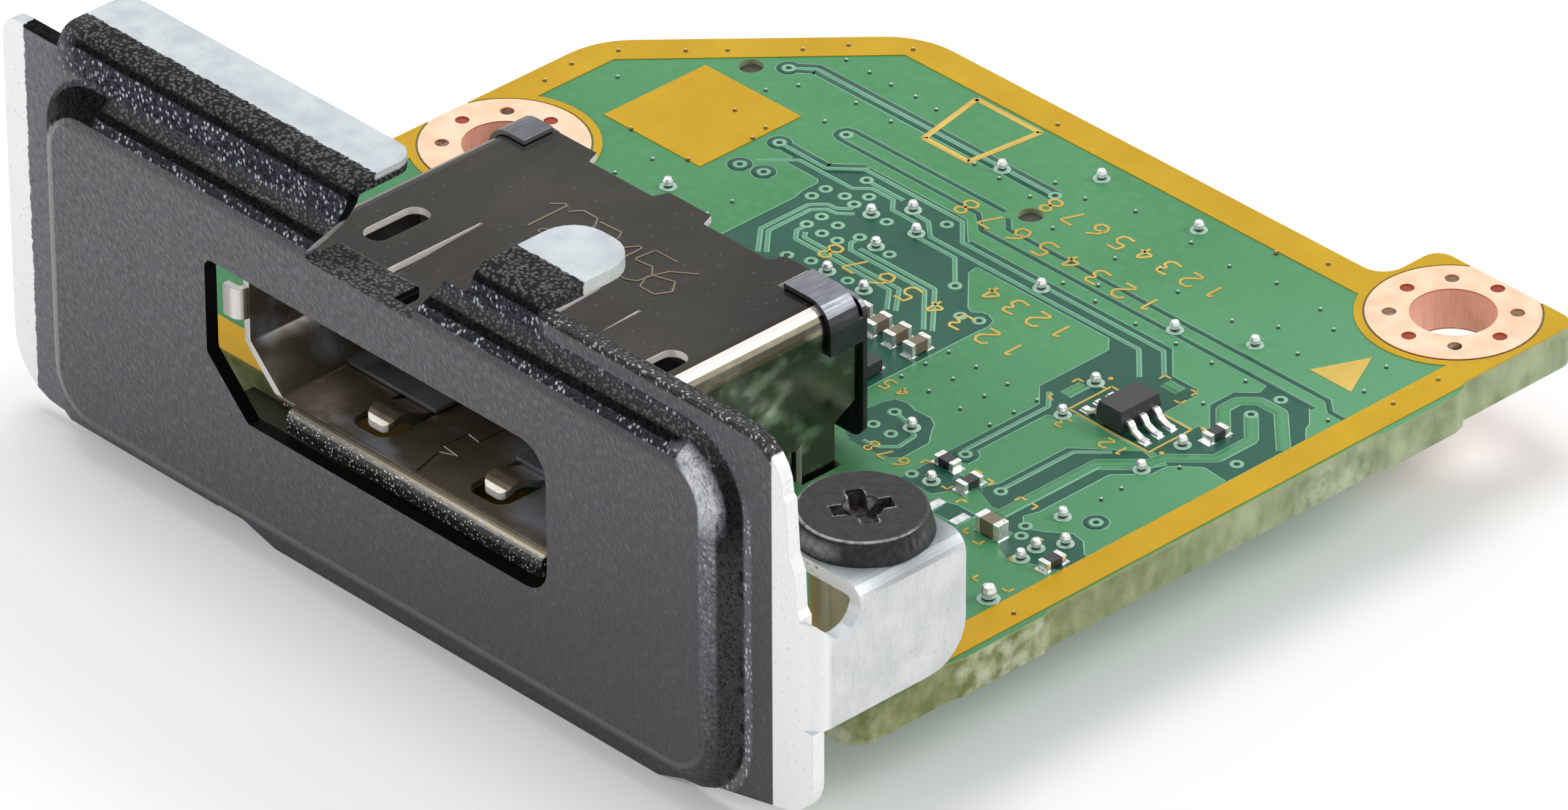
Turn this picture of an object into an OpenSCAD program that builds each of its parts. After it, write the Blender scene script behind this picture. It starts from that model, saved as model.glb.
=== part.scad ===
// Video port module: a small circuit board that carries a panel receptacle behind a folded
// sheet-metal bracket, with a board-to-board plug on its underside.
// Origin: axis of the rear mounting hole on the board's underside. X runs along the
// bracket plate, Y points away from the plate and Z is up. All lengths are in millimetres.

/* [Circuit board] */
// Thickness of the board
board_t = 1.6; // [1.2:0.1:2.4]
// Left edge of the board, left of the rear hole
board_left = 35.45; // [35.2:0.05:37]
// Right edge of the board, right of the rear hole
board_right = 3.75; // [3.4:0.05:3.95]
// Front edge of the board, in front of the rear hole
board_front = 33.5; // [33:0.1:34]
// Rear edge of the board beside the tab, in front of the rear hole
board_back = 0.1; // [0:0.05:1]
// Reach of the rear tab behind the rear hole
tab_reach = 2.75; // [2.3:0.05:5]
// Left side of the rear tab, left of the rear hole
tab_left = 3.4; // [2.8:0.1:5]
// Length of the snapped-off step in the right edge
step_len = 5.9; // [4.5:0.1:8]
// Depth of the snapped-off step
step_depth = 0.22; // [0.1:0.02:0.6]
// Height of the stubs left where the board was broken out of its panel
stub_out = 0.16; // [0.05:0.01:0.18]
// Width of the cut-off rear left corner
cut_w = 8.25; // [5:0.25:9]
// Length of the cut-off rear left corner
cut_l = 9; // [6:0.25:10]

/* [Mounting holes] */
// Radius of the plated mounting holes
hole_r = 1.6; // [1:0.05:1.8]
// Distance from the rear hole to the front hole along X
hole_dx = 32.33; // [31.9:0.01:33]
// Distance from the rear hole to the front hole along Y
hole_dy = 16.6; // [15:0.1:18]
// Radius of the copper pads round the holes
pad_r = 3.2; // [2.9:0.05:3.2]
// Radius of the gold ring round each copper pad
ring_r = 3.6; // [3.4:0.05:3.8]
// Thickness of the copper pads
pad_t = 0.05; // [0.03:0.01:0.1]
// Radius of the small vias in the copper pads
via_r = 0.27; // [0.15:0.01:0.3]
// Radius of the circle on which the vias lie
via_circle_r = 2.31; // [2.2:0.01:2.5]
// Width of the gold ground strip round the board
strip_w = 1.45; // [1:0.05:1.5]

/* [Bracket] */
// Thickness of the bracket sheet
sheet_t = 0.55; // [0.4:0.05:0.7]
// Front face of the plate, in front of the rear hole
plate_front = 35.56; // [35.4:0.02:36]
// Left end of the plate, left of the rear hole
plate_left = 37.95; // [37.5:0.05:40]
// Outer face of the side wall, right of the rear hole
wall_right = 3.95; // [3.85:0.05:4.2]
// Top edge of the plate above the board's underside
plate_top = 12.6; // [12.3:0.05:14]
// Height by which the middle of the plate is pressed forward
emboss_h = 0.9; // [0.6:0.05:1.2]
// Width of the pressed face
face_w = 33.55; // [32:0.05:34]
// Height of the pressed face
face_h = 12.25; // [11.5:0.05:12.6]
// Steepest slope of the border round the pressed face, in degrees
slope_a = 50; // [46:1:60]
// Radius of the crest round the pressed face
crest_r = 0.8; // [0.6:0.05:0.9]
// Radius of the hollow at the foot of the border
foot_r = 0.5; // [0.3:0.05:0.6]
// Left edge of the plug window, left of the receptacle's middle
window_left = 9.43; // [9.2:0.01:9.8]
// Right edge of the plug window, right of the receptacle's middle
window_right = 8.3; // [8.2:0.01:8.8]
// Height of the plug window
window_h = 6; // [5.9:0.05:6.3]
// Outer radius of the bends at the plate's top edge
bend_r = 0.8; // [0.75:0.05:1.1]
// Outer radius of the bends at the side wall and the shelf
ear_r = 0.7; // [0.65:0.05:0.9]
// Height of the rear flange's top above the plate's top edge
flange_rise = 0.7; // [0.4:0.05:0.9]
// Reach of the flange behind the plate's front face
flange_reach = 3.4; // [2.4:0.05:5]
// Width of the flange
flange_w = 15.3; // [14:0.1:15.6]
// Height of the top tab's upper face above the plate's top edge
tab_rise = 0.3; // [0.1:0.05:0.6]
// Reach of the top tab behind the plate's front face
tab_len = 4.9; // [4:0.1:7]
// Width of the top tab
tab_w = 3.4; // [2.4:0.1:3.8]
// Height of the screw shelf above the board
shelf_z = 5.1; // [5:0.05:6.5]
// Length of the side wall behind the plate's front face
wall_len = 7.2; // [7:0.05:7.6]

/* [Screw and standoff] */
// Screw axis, right of the rear hole
screw_x = 1.2; // [1:0.01:1.3]
// Screw axis, behind the plate's front face
screw_back = 4.9; // [4.8:0.01:5]
// Radius of the screw head
head_r = 2.44; // [2:0.01:2.5]
// Height of the screw head
head_h = 0.87; // [0.8:0.01:1.4]
// Radius of the screw's shank
shank_r = 1.2; // [0.9:0.05:1.25]
// Length of the screw's shank
shank_len = 3.6; // [2.4:0.1:4]
// Radius of the standoff
standoff_r = 1.85; // [1.65:0.01:1.9]

/* [Receptacle] */
// Middle of the receptacle, left of the rear hole
shell_off = 16.8; // [16.6:0.05:17]
// Outer width of the shell
shell_w = 17.3; // [17:0.05:17.6]
// Outer height of the shell
shell_h = 5.6; // [5.5:0.05:5.8]
// Length of the shell
shell_len = 13.5; // [13.2:0.05:14]
// Thickness of the shell's sheet
shell_t = 0.3; // [0.2:0.02:0.32]
// Gap between the board and the underside of the shell
shell_lift = 0.9; // [0.8:0.05:1.2]
// Leg of the chamfer at the shell's lower left corner
chamfer = 1.83; // [1.4:0.01:2]
// Outer radius of the shell's other corners
shell_r = 0.85; // [0.6:0.05:0.95]
// Distance of the shell's mouth behind the plate's front face
mouth_setback = 0.21; // [0.15:0.01:0.4]
// Height by which the mouth's lips flare out
lip_drop = 0.6; // [0.5:0.02:0.7]
// Width of the shell's feet
foot_w = 1.6; // [1.2:0.05:1.8]
// Length of the feet below the board
foot_below = 0.8; // [0.4:0.1:1.4]
// Distance from the shell's mouth to the front of the tongue
tongue_back = 2.95; // [2.8:0.05:4]
// Width of the tongue
tongue_w = 12.2; // [11.4:0.1:12.6]
// Thickness of the tongue
tongue_t = 1.5; // [1.2:0.05:1.8]
// Pitch of the contacts in one row
contact_pitch = 1; // [0.96:0.01:1.1]
// Width of a contact
contact_w = 0.4; // [0.3:0.02:0.42]
// Thickness of a contact
contact_t = 0.2; // [0.15:0.01:0.25]
// Contacts in each row of the receptacle
row_contacts = 10; // [6:1:10]

/* [Board plug] */
// Middle of the underside plug, left of the rear hole
plug_dx = 22.75; // [21:0.05:24]
// Middle of the underside plug, in front of the rear hole
plug_dy = 6.2; // [5:0.05:8]
// Height of the underside plug
plug_h = 3.67; // [3:0.01:4.5]
// Length of the underside plug
plug_len = 17.2; // [17:0.1:18]
// Width of the underside plug
plug_w = 5.2; // [4.8:0.1:6]
// Distance between the plug's locating pegs
peg_pitch = 14.78; // [14.4:0.01:15]
// Radius of the locating pegs
peg_r = 0.43; // [0.3:0.01:0.5]
// Pitch of the plug's contacts
plug_pitch = 0.6; // [0.5:0.01:0.62]
// Contacts in each row of the plug
plug_contacts = 20; // [12:1:20]

/* [Small parts] */
// Thickness of the plating and solder lands on the board
skin_t = 0.035; // [0.02:0.005:0.06]
// Length of a small capacitor
cap_l = 1; // [0.8:0.05:1.1]
// Width of a small capacitor
cap_w = 0.5; // [0.4:0.02:0.6]
// Height of a small capacitor
cap_h = 0.5; // [0.4:0.02:0.6]
// Distance between the capacitors in the row
cap_pitch = 1; // [0.9:0.05:1.2]
// Radius of the solder ball on a test point
dome_r = 0.21; // [0.18:0.01:0.3]
// Length of the chip's moulded body
chip_l = 2; // [1.8:0.05:2.2]
// Width of the chip's moulded body
chip_w = 1.25; // [1.1:0.05:1.35]
// Pitch of the chip's leads
lead_pitch = 0.65; // [0.6:0.01:0.7]

/* [Hidden] */
$fn = 36;

// Depth to which a cutting solid passes through a face
thru = 0.5;
// Gap between parts that are fitted together
fit = 0.05;
// Bare margin between the ground strip and the board's right edge
copper_rim = 0.1;

board_top = board_t;
part_z = board_top + skin_t;
plate_y = -plate_front;
plate_back = plate_y + sheet_t;
face_y = plate_y - emboss_h;

shell_x = -shell_off;
shell_z0 = board_top + shell_lift;
shell_z1 = shell_z0 + shell_h;
shell_mid = (shell_z0 + shell_z1) / 2;
mouth_y = plate_y + mouth_setback;
shell_rear = mouth_y + shell_len;
window_z0 = shell_z0 - lip_drop;

screw_y = plate_y + screw_back;
shelf_top = board_top + shelf_z;
shelf_under = shelf_top - sheet_t;

holes = [[0, 0], [-hole_dx, -hole_dy]];
plug_x = -plug_dx;
plug_y = -plug_dy;

function unit(v) = v / norm(v);
function turn(v, a) = [v.x * cos(a) - v.y * sin(a), v.x * sin(a) + v.y * cos(a)];

// Points of the arc that rounds corner p, between neighbours a and b, to radius r
function corner(a, p, b, r, n) =
    r <= 0 ? [p] :
    let (u = unit(a - p), v = unit(b - p), half = acos(u * v) / 2,
        c = p + unit(u + v) * r / sin(half),
        s = p + u * r / tan(half) - c,
        sweep = (180 - 2 * half) * sign(v.x * u.y - v.y * u.x))
    [for (k = [0:n]) c + turn(s, sweep * k / n)];

// Outline through [x, y, radius] points with each corner rounded to its radius
function rounded(pts, n = 6) =
    let (m = len(pts), q = [for (p = pts) [p.x, p.y]])
    [for (i = [0:m - 1]) each corner(q[(i + m - 1) % m], q[i], q[(i + 1) % m], pts[i].z, n)];

// Outline of an even ribbon of width w along a path
function ribbon(p, w) =
    let (n = len(p) - 1,
        s = [for (i = [0:n]) turn(unit(p[min(i + 1, n)] - p[max(i - 1, 0)]), 90) * w / 2])
    concat([for (i = [0:n]) p[i] + s[i]], [for (i = [n:-1:0]) p[i] - s[i]]);

// Rounded rectangle from a lower left to an upper right corner
function plain_box(a, b, r, n = 6) =
    rounded([[a.x, a.y, r], [b.x, a.y, r], [b.x, b.y, r], [a.x, b.y, r]], n);

// Upright profile in X and Z, drawn out along Y from y0 to y1
module along_y(y0, y1) {
    translate([0, y1, 0]) rotate([90, 0, 0]) linear_extrude(y1 - y0) children();
}

// Profile in Y and Z, drawn out along X from x0 to x1
module along_x(x0, x1) {
    translate([x0, 0, 0]) rotate([90, 0, 90]) linear_extrude(x1 - x0) children();
}

module block(a, b) {
    translate(a) cube(b - a);
}

// Circuit board

step_y = tab_reach - step_len;

// Stub on the right edge from y0 to y1
function stub(y0, y1) = [[board_right, y0, 0.3], [board_right + stub_out, y0 + 0.65, 0.5],
    [board_right + stub_out, y1 - 0.5, 0.3], [board_right, y1, 0]];

// Outline of the board with the given points along its right edge, which stands back by rim
module board_outline(right_points, rim) {
    polygon(rounded(concat(
        [[-board_left, -board_front, 0.8], [board_right - rim, -board_front, 1]],
        right_points,
        [[board_right - step_depth, step_y, 0],
        [board_right - step_depth, tab_reach, 0.7],
        [-tab_left, tab_reach, 0.7],
        [-tab_left, -board_back, 1],
        [-board_left + cut_w, -board_back, 3.5],
        [-board_left, -board_back - cut_l, 3.5]])));
}

module board_shape() {
    board_outline(concat(stub(-28.95, -24.05), stub(-8, step_y - step_depth)), 0);
}

// Outline inside which the copper lies
module copper_shape() {
    board_outline([[board_right - copper_rim, step_y - step_depth, 0]], copper_rim);
}

// Side of the shell's feet: [middle in Y, 1 or -1 for the right or left wall]
foot_rear_y = shell_rear - 1.95;
foot_front_y = mouth_y + 4.2;
feet = [for (y = [foot_front_y, foot_rear_y], side = [-1, 1]) [y, side]];
foot_gap = 0.2;

module at_foot(f) {
    translate([shell_x + f[1] * (shell_w - shell_t) / 2, f[0], 0]) children();
}

module circuit_board() {
    peg_hole_r = peg_r + fit;
    color("seagreen")
    difference() {
        linear_extrude(board_t) board_shape();
        for (h = holes) translate([h.x, h.y, -thru]) cylinder(r = hole_r, h = board_t + 2 * thru);
        for (s = [-1, 1]) translate([plug_x + s * peg_pitch / 2, plug_y, -thru])
            cylinder(r = peg_hole_r, h = board_t + 2 * thru);
        translate([screw_x, screw_y, -thru]) cylinder(r = spigot_r + fit, h = board_t + 2 * thru);
        for (f = feet) at_foot(f)
            block([-shell_t / 2 - foot_gap, -foot_w / 2 - foot_gap, -thru],
                [shell_t / 2 + foot_gap, foot_w / 2 + foot_gap, board_t + thru]);
    }
}

// Copper pads on both faces of the board round each hole
module mounting_hole_plating() {
    color("peachpuff")
    for (h = holes) difference() {
        for (z = [-pad_t, board_top]) translate([0, 0, z]) linear_extrude(pad_t) intersection() {
            board_shape();
            translate(h) circle(pad_r);
        }
        translate([h.x, h.y, -thru]) cylinder(r = hole_r, h = board_t + 2 * thru);
        for (k = [0:7]) translate([h.x, h.y, 0]) rotate(k * 45) translate([via_circle_r, 0, board_top])
            cylinder(r = via_r, h = thru, $fn = 13);
    }
}

// Bare ground strip along the edges, with the ring round each pad and the two lands
module ground_plating() {
    land_r = standoff_r + 0.3;
    square_a = 5.15;
    color("goldenrod")
    translate([0, 0, board_top]) linear_extrude(skin_t) difference() {
        intersection() {
            copper_shape();
            union() {
                difference() {
                    copper_shape();
                    polygon(plain_box([-board_left + strip_w, -board_front + strip_w],
                        [board_right - strip_w, -board_back - strip_w], 0.4));
                }
                difference() {
                    copper_shape();
                    translate([-board_left, -board_back - cut_l]) polygon([
                        [strip_w, -cut_l * 4],
                        [board_left * 2, -cut_l * 4],
                        [board_left * 2, -strip_w + cut_l],
                        [cut_w + strip_w / 3, -strip_w + cut_l],
                        [strip_w, -strip_w / 3]]);
                }
                for (h = holes) translate(h) circle(ring_r);
                translate([screw_x, screw_y]) circle(land_r);
                translate([-hole_dx + 1, -hole_dy + 4.05]) square(square_a);
            }
        }
        for (h = holes) translate(h) circle(pad_r + 0.08);
        translate([screw_x, screw_y]) circle(spigot_r + 2 * fit);
        for (s = [-1, 1]) translate([plug_x + s * peg_pitch / 2, plug_y]) circle(peg_r + 2 * fit);
    }
}

// Bracket

// Lower edge of the plate, level with the underside plug's lower face at its lowest
plate_low = -plug_h;
face_x0 = -34.4;
face_corner = 1.6;
face_z0 = plate_top - 2.2 - face_h;
notch_x0 = -plate_left + 3.05 + flange_w;
lip_x0 = notch_x0 - 1.35;
lip_x1 = lip_x0 + 4.15;
notch_x1 = lip_x1 + 1.5;
lip_z = face_z0 + face_h - 0.2;
tab_x0 = notch_x1 + 2.15;
plate_right = wall_right - ear_r;
relief_z = shelf_under - 0.95;
relief_root = shelf_under - 0.05;
relief_r = 0.95;
shelf_y = plate_y + 2.2;
foot_end = wall_right - 0.1;
wall_low = board_top + skin_t + 0.02;
flange_z = plate_top + flange_rise;

module plate_outline() {
    flange_root = flange_z - bend_r;
    tab_root = plate_top + tab_rise - bend_r;
    polygon(rounded([
        [-plate_left, plate_top, 0.8],
        [-plate_left + 3.05, plate_top, 0],
        [-plate_left + 3.05, flange_root, 0],
        [notch_x0, flange_root, 0],
        [lip_x0, lip_z, 0.2],
        [notch_x1, lip_z, 0.3],
        [tab_x0, tab_root, 0],
        [tab_x0 + tab_w, tab_root, 0],
        [tab_x0 + tab_w, plate_top, 0],
        [plate_right - 0.85, plate_top, 1.85],
        [plate_right - 0.85, shelf_top + 3.95, 0.05],
        [plate_right - 0.7, shelf_top + 3.8, 0.08],
        [plate_right - 0.55, shelf_top + 1.7, 0.6],
        [plate_right - 0.27, shelf_top + 1.05, 0.5],
        [plate_right - 0.2, relief_root + 0.25, 0.2],
        [plate_right, relief_root, 0],
        [plate_right, wall_low, 0],
        [foot_end, wall_low, 0],
        [foot_end, plate_low + 1.95, 1.6],
        [-1.9, plate_low + 0.7, 1],
        [-3.9, plate_low, 1],
        [-23.9, plate_low, 0.8],
        [-26.2, plate_low + 0.62, 0.8],
        [-27, plate_low + 0.41, 0.3],
        [-plate_left + 2.95, plate_low + 0.41, 0.2],
        [-plate_left + 2.6, plate_low + 0.67, 0.2],
        [-plate_left, plate_low + 0.67, 2.4]]));
}

// Outline of the pressed face, grown all round by g
module field_outline(g) {
    polygon(plain_box([face_x0 - g, face_z0 - g], [face_x0 + face_w + g, face_z0 + face_h + g],
        face_corner + g));
}

// Border round the pressed face: a crest arc, a straight slope and a foot arc. The hollow behind it
// is the same border with arcs that allow for the sheet. Each entry is [growth, depth].
function crest_arc(r, d) =
    [for (k = [0:3]) let (a = slope_a * k / 3) [r * sin(a), d + r * (1 - cos(a))]];

function foot_arc(r, run, d) =
    [for (k = [0:2]) let (a = slope_a * (1 - k / 2)) [run - r * sin(a), d - r * (1 - cos(a))]];

function border_run() =
    let (arcs = crest_r + foot_r)
    arcs * sin(slope_a) + (emboss_h - arcs * (1 - cos(slope_a))) / tan(slope_a);

module field_slice(p) {
    thin = 0.01;
    along_y(face_y + p[1], face_y + p[1] + thin) field_outline(p[0]);
}

module pressed_field(back) {
    crest = crest_arc(crest_r - back, back);
    foot = foot_arc(foot_r + back, border_run(), emboss_h + back);
    hull() for (p = concat(crest, [foot[0]])) field_slice(p);
    for (k = [0, 1]) hull() {
        field_slice(foot[k]);
        field_slice(foot[k + 1]);
    }
}

// Section of a sheet that turns from upright at y0 back to a level face at top
module bend_section(y0, top, reach) {
    polygon(rounded([
        [y0, top, bend_r],
        [y0 + reach, top, 0],
        [y0 + reach, top - sheet_t, 0],
        [y0 + sheet_t, top - sheet_t, bend_r - sheet_t],
        [y0 + sheet_t, top - bend_r, 0],
        [y0, top - bend_r, 0]]));
}

// Flange or tab bent back from the plate's top edge, with its two rear corners rounded
module top_flange(x0, x1, top, reach, tip_r) {
    intersection() {
        along_x(x0, x1) bend_section(plate_y, top, reach);
        translate([0, 0, top - 2 * bend_r]) linear_extrude(3 * bend_r)
            polygon(rounded([[x0, plate_y - thru, 0], [x1, plate_y - thru, 0],
                [x1, plate_y + reach, tip_r], [x0, plate_y + reach, tip_r]]));
    }
}

// Lip turned straight back from the pressed face's upper edge inside the notch
module notch_lip() {
    lip_r = sheet_t + 0.15;
    lip_reach = 1.75;
    along_x(lip_x0 + 0.1, lip_x1) polygon(rounded([
        [face_y, lip_z, lip_r],
        [face_y + lip_reach, lip_z, 0.15],
        [face_y + lip_reach, lip_z - sheet_t, 0.15],
        [face_y + sheet_t, lip_z - sheet_t, 0.1],
        [face_y + sheet_t, lip_z - 2 * sheet_t, 0],
        [face_y, lip_z - 2 * sheet_t, 0]]));
}

// Side wall that turns back from the plate, and the shelf that turns in from its top
module side_wall() {
    y_end = plate_y + wall_len;
    intersection() {
        translate([0, 0, wall_low]) linear_extrude(shelf_top - ear_r - wall_low) polygon(rounded([
            [plate_right, plate_y, 0],
            [wall_right, plate_y, ear_r],
            [wall_right, y_end, 0],
            [wall_right - sheet_t, y_end, 0],
            [wall_right - sheet_t, plate_back, ear_r - sheet_t],
            [plate_right, plate_back, 0]]));
        along_x(plate_right - 1, wall_right + 1) polygon(rounded([
            [plate_y - 1, wall_low, 0],
            [y_end, wall_low, 1.7],
            [y_end, shelf_top, 0],
            [shelf_y, shelf_top, 0],
            [shelf_y, relief_z, relief_r],
            [plate_y + 1, relief_z, 0.4],
            [plate_y + 0.1, relief_root, 0],
            [plate_y - 1, relief_root, 0]]));
    }
}

module screw_shelf() {
    y_end = plate_y + wall_len;
    shelf_x0 = screw_x - head_r + 0.05;
    intersection() {
        along_y(shelf_y, y_end) polygon(rounded([
            [wall_right, shelf_top - ear_r, 0],
            [wall_right, shelf_top, ear_r],
            [shelf_x0, shelf_top, 0],
            [shelf_x0, shelf_under, 0],
            [wall_right - sheet_t, shelf_under, ear_r - sheet_t],
            [wall_right - sheet_t, shelf_top - ear_r, 0]]));
        translate([0, 0, shelf_top - 2 * ear_r]) linear_extrude(3 * ear_r) polygon(rounded([
            [wall_right + 1, shelf_y, 0],
            [wall_right + 1, y_end, 0],
            [shelf_x0, y_end, 1.9],
            [shelf_x0, shelf_y, 1.9]]));
    }
}

module plug_window() {
    x0 = shell_x - window_left;
    x1 = shell_x + window_right;
    cut = 2.1;
    along_y(face_y - thru, plate_y + thru) polygon(rounded([
        [x0, window_z0 + window_h, 0.4],
        [x1, window_z0 + window_h, 1.3],
        [x1, window_z0, 1.1],
        [x0 + cut, window_z0, 0.3],
        [x0, window_z0 + cut, 0.3]]));
}

module bracket() {
    color("dimgray")
    difference() {
        union() {
            difference() {
                union() {
                    along_y(plate_y, plate_back) plate_outline();
                    pressed_field(0);
                }
                along_y(face_y - thru, plate_back + thru) polygon(rounded([
                    [notch_x0 + 1.35, plate_top + 2, 0],
                    [lip_x0, lip_z, 0.2],
                    [notch_x1, lip_z, 0.3],
                    [tab_x0, plate_top + 2, 0]]));
                pressed_field(sheet_t);
            }
            top_flange(-plate_left + 3.05, notch_x0, flange_z, flange_reach, 0.9);
            top_flange(tab_x0, tab_x0 + tab_w, plate_top + tab_rise, tab_len, 1.4);
            notch_lip();
            side_wall();
            screw_shelf();
        }
        plug_window();
        translate([screw_x, screw_y, shelf_under - thru])
            cylinder(r = shank_r + 0.2, h = sheet_t + 2 * thru);
    }
}

// Screw and standoff

spigot_r = 1.2;
thread_gap = 0.05;

module cross_recess(depth) {
    arm_l = 1.1;
    arm_w = 0.62;
    translate([0, 0, -depth]) linear_extrude(depth + thru) for (a = [62, 152]) rotate(a)
        square([2 * arm_l, arm_w], center = true);
    translate([0, 0, -depth]) cylinder(r1 = 0.3, r2 = 0.75, h = depth + 0.01);
}

module bracket_screw() {
    edge = 0.05;
    taper = 0.11;
    color("#2b2b2f")
    translate([screw_x, screw_y, shelf_top]) difference() {
        union() {
            rotate_extrude() polygon([[0, 0], [head_r + taper, 0], [head_r - taper, head_h - edge],
                [head_r - taper - edge, head_h], [0, head_h]]);
            translate([0, 0, -shank_len]) cylinder(r = shank_r, h = shank_len);
        }
        translate([0, 0, head_h]) cross_recess(0.7);
    }
}

module standoff() {
    color("#8a7f45")
    translate([screw_x, screw_y, 0]) difference() {
        union() {
            translate([0, 0, part_z]) cylinder(r = standoff_r, h = shelf_under - part_z);
            translate([0, 0, 0.1]) cylinder(r = spigot_r, h = board_t);
        }
        translate([0, 0, shelf_top - shank_len - 0.3])
            cylinder(r = shank_r + thread_gap, h = shank_len + thru);
    }
}

// Receptacle

// Cross-section of the plug space, shrunk all round by e
function bore_outline(e) =
    let (w = shell_w / 2 - shell_t - e, z0 = shell_z0 + shell_t + e, z1 = shell_z1 - shell_t - e,
        r = max(shell_r - shell_t - e, 0.05), c = chamfer - (shell_t + e) * (2 - sqrt(2)))
    rounded([[shell_x - w, z1, r], [shell_x + w, z1, r], [shell_x + w, z0, r],
        [shell_x - w + c, z0, 0.15], [shell_x - w, z0 + c, 0.15]]);

// Ring between two sizes of the cross-section
module ring_section(inner, outer) {
    difference() {
        polygon(bore_outline(-outer));
        polygon(bore_outline(-inner));
    }
}

finger_w = 1.95;
low_finger_w = 1.3;
finger_off = 3.05;
slot_w = 0.12;

// Window w wide in a wall, from a finger's root to its free end at the front
module finger_window(w, y_root, y_tip, front_r) {
    polygon(rounded([
        [-w / 2, y_tip, front_r],
        [w / 2, y_tip, front_r],
        [w / 2, y_root, 0],
        [-w / 2, y_root, 0]]));
}

// Spring finger w wide that leaves the wall at y_root and is flat to y_bow. Its height then follows
// a sine up to the angle curl: 90 degrees ends it level, and more turns its free end back.
module spring_finger(w, y_root, y_bow, y_tip, z, dip, curl, tip_r) {
    n = 12;
    bow = concat([[y_root + 0.02, 0]],
        [for (k = [0:n]) [y_bow - (y_bow - y_tip) * k / n, dip * sin(curl * pow(k / n, 1.5))]]);
    intersection() {
        along_x(-w / 2, w / 2) translate([0, z])
            polygon(concat(bow, [for (k = [n + 1:-1:0]) bow[k] + [0, shell_t]]));
        translate([0, 0, z - 1]) linear_extrude(2 + shell_t)
            finger_window(w, y_root + 1, y_tip, tip_r);
    }
}

// Lip that flares out from the mouth, drawn lying on a floor and turned down
module flare(w) {
    r = lip_drop;
    y_end = -0.45;
    along_x(-w / 2, w / 2) polygon(rounded([
        [0.2, 0, 0],
        [0.2, -shell_t, 0],
        [y_end + shell_t, -shell_t, max(r - shell_t, 0.05) / 2],
        [y_end + shell_t, -lip_drop - shell_t, 0],
        [y_end, -lip_drop - shell_t, 0],
        [y_end, 0, r * 0.8]]));
}

top_root = mouth_y + 7.3;
top_tip = mouth_y + 3;
low_root = mouth_y + 5.2;
low_bow = mouth_y + 3.1;
low_tip = mouth_y + 1.15;
floor_end = shell_rear - 3.3;

// Line of the interlocking seam in the shell's floor, from the mouth to the rear
seam = [[0.45, 0], [-0.2, 2.6], [0.4, 2.85], [-0.45, 2.95],
    [-0.35, 4.1], [0.3, 4], [0.3, 5.2], [0.3, shell_len]];
seam_w = 0.06;

module shell_cuts() {
    clip_slot = 0.3;
    notch_depth = 0.6;
    top_cut = shell_z1 - 2 * shell_t;
    // Long windows with round ends beside the fingers
    for (x = [-6.15, 7.15]) translate([shell_x + x, mouth_y + 3.7, top_cut]) linear_extrude(1)
        polygon(plain_box([-0.55, 0], [0.55, 2.8], 0.5));
    // Slots round the two upper fingers
    for (s = [-1, 1]) translate([shell_x + s * finger_off, 0, top_cut]) linear_extrude(1)
        finger_window(finger_w + 2 * slot_w, top_root, top_tip - 2 * slot_w, 0.15);
    // Openings round the two lower fingers
    for (s = [-1, 1]) translate([shell_x + s * finger_off, 0, shell_z0 - shell_t])
        linear_extrude(3 * shell_t) finger_window(low_finger_w + 0.6, low_root, low_tip - 0.5, 0.6);
    // Shallow notches in the rear edge
    for (x = [-2.9, 3.05]) translate([shell_x + x, shell_rear, top_cut]) linear_extrude(1)
        polygon([[-2.1, thru], [-1.65, -notch_depth], [1.65, -notch_depth], [2.1, thru]]);
    // Slot that takes the end of the rear cover's right arm
    translate([shell_x + arm_right - clip_slot, shell_rear - 1.55, top_cut])
        cube([clip_slot, 1.45, 1]);
    // Rear end of the floor, open over the insulator's foot
    block([shell_x - shell_w / 2 + chamfer + 0.3, floor_end, shell_z0 - 1],
        [shell_x + shell_w / 2 - shell_r, shell_rear + thru, shell_z0 + 2 * shell_t]);
    // Interlocking seam in the floor
    translate([shell_x, mouth_y - 1, shell_z0 - shell_t]) linear_extrude(3 * shell_t)
        for (k = [0:len(seam) - 2]) translate(seam[k]) rotate(atan2(seam[k + 1].y - seam[k].y,
            seam[k + 1].x - seam[k].x)) translate([-seam_w / 2, -seam_w / 2])
            square([norm(seam[k + 1] - seam[k]) + seam_w, seam_w]);
    // Lower rear corners of both side walls
    along_x(shell_x - shell_w / 2 - 1, shell_x + shell_w / 2 + 1) polygon([
        [foot_rear_y + foot_w / 2, 0], [foot_rear_y + foot_w / 2, shell_z0 + 0.8],
        [shell_rear + 0.1, shell_z0 + 1.5], [shell_rear + 1, 0]]);
}

// Foot that drops from a side wall through the board
module shell_foot(f, root_z) {
    tip = 0.25;
    at_foot(f) along_x(-shell_t / 2, shell_t / 2) polygon(rounded([
        [-foot_w / 2, root_z, 0],
        [-foot_w / 2, -foot_below, tip],
        [foot_w / 2, -foot_below, tip],
        [foot_w / 2, root_z, 0]]));
}

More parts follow.
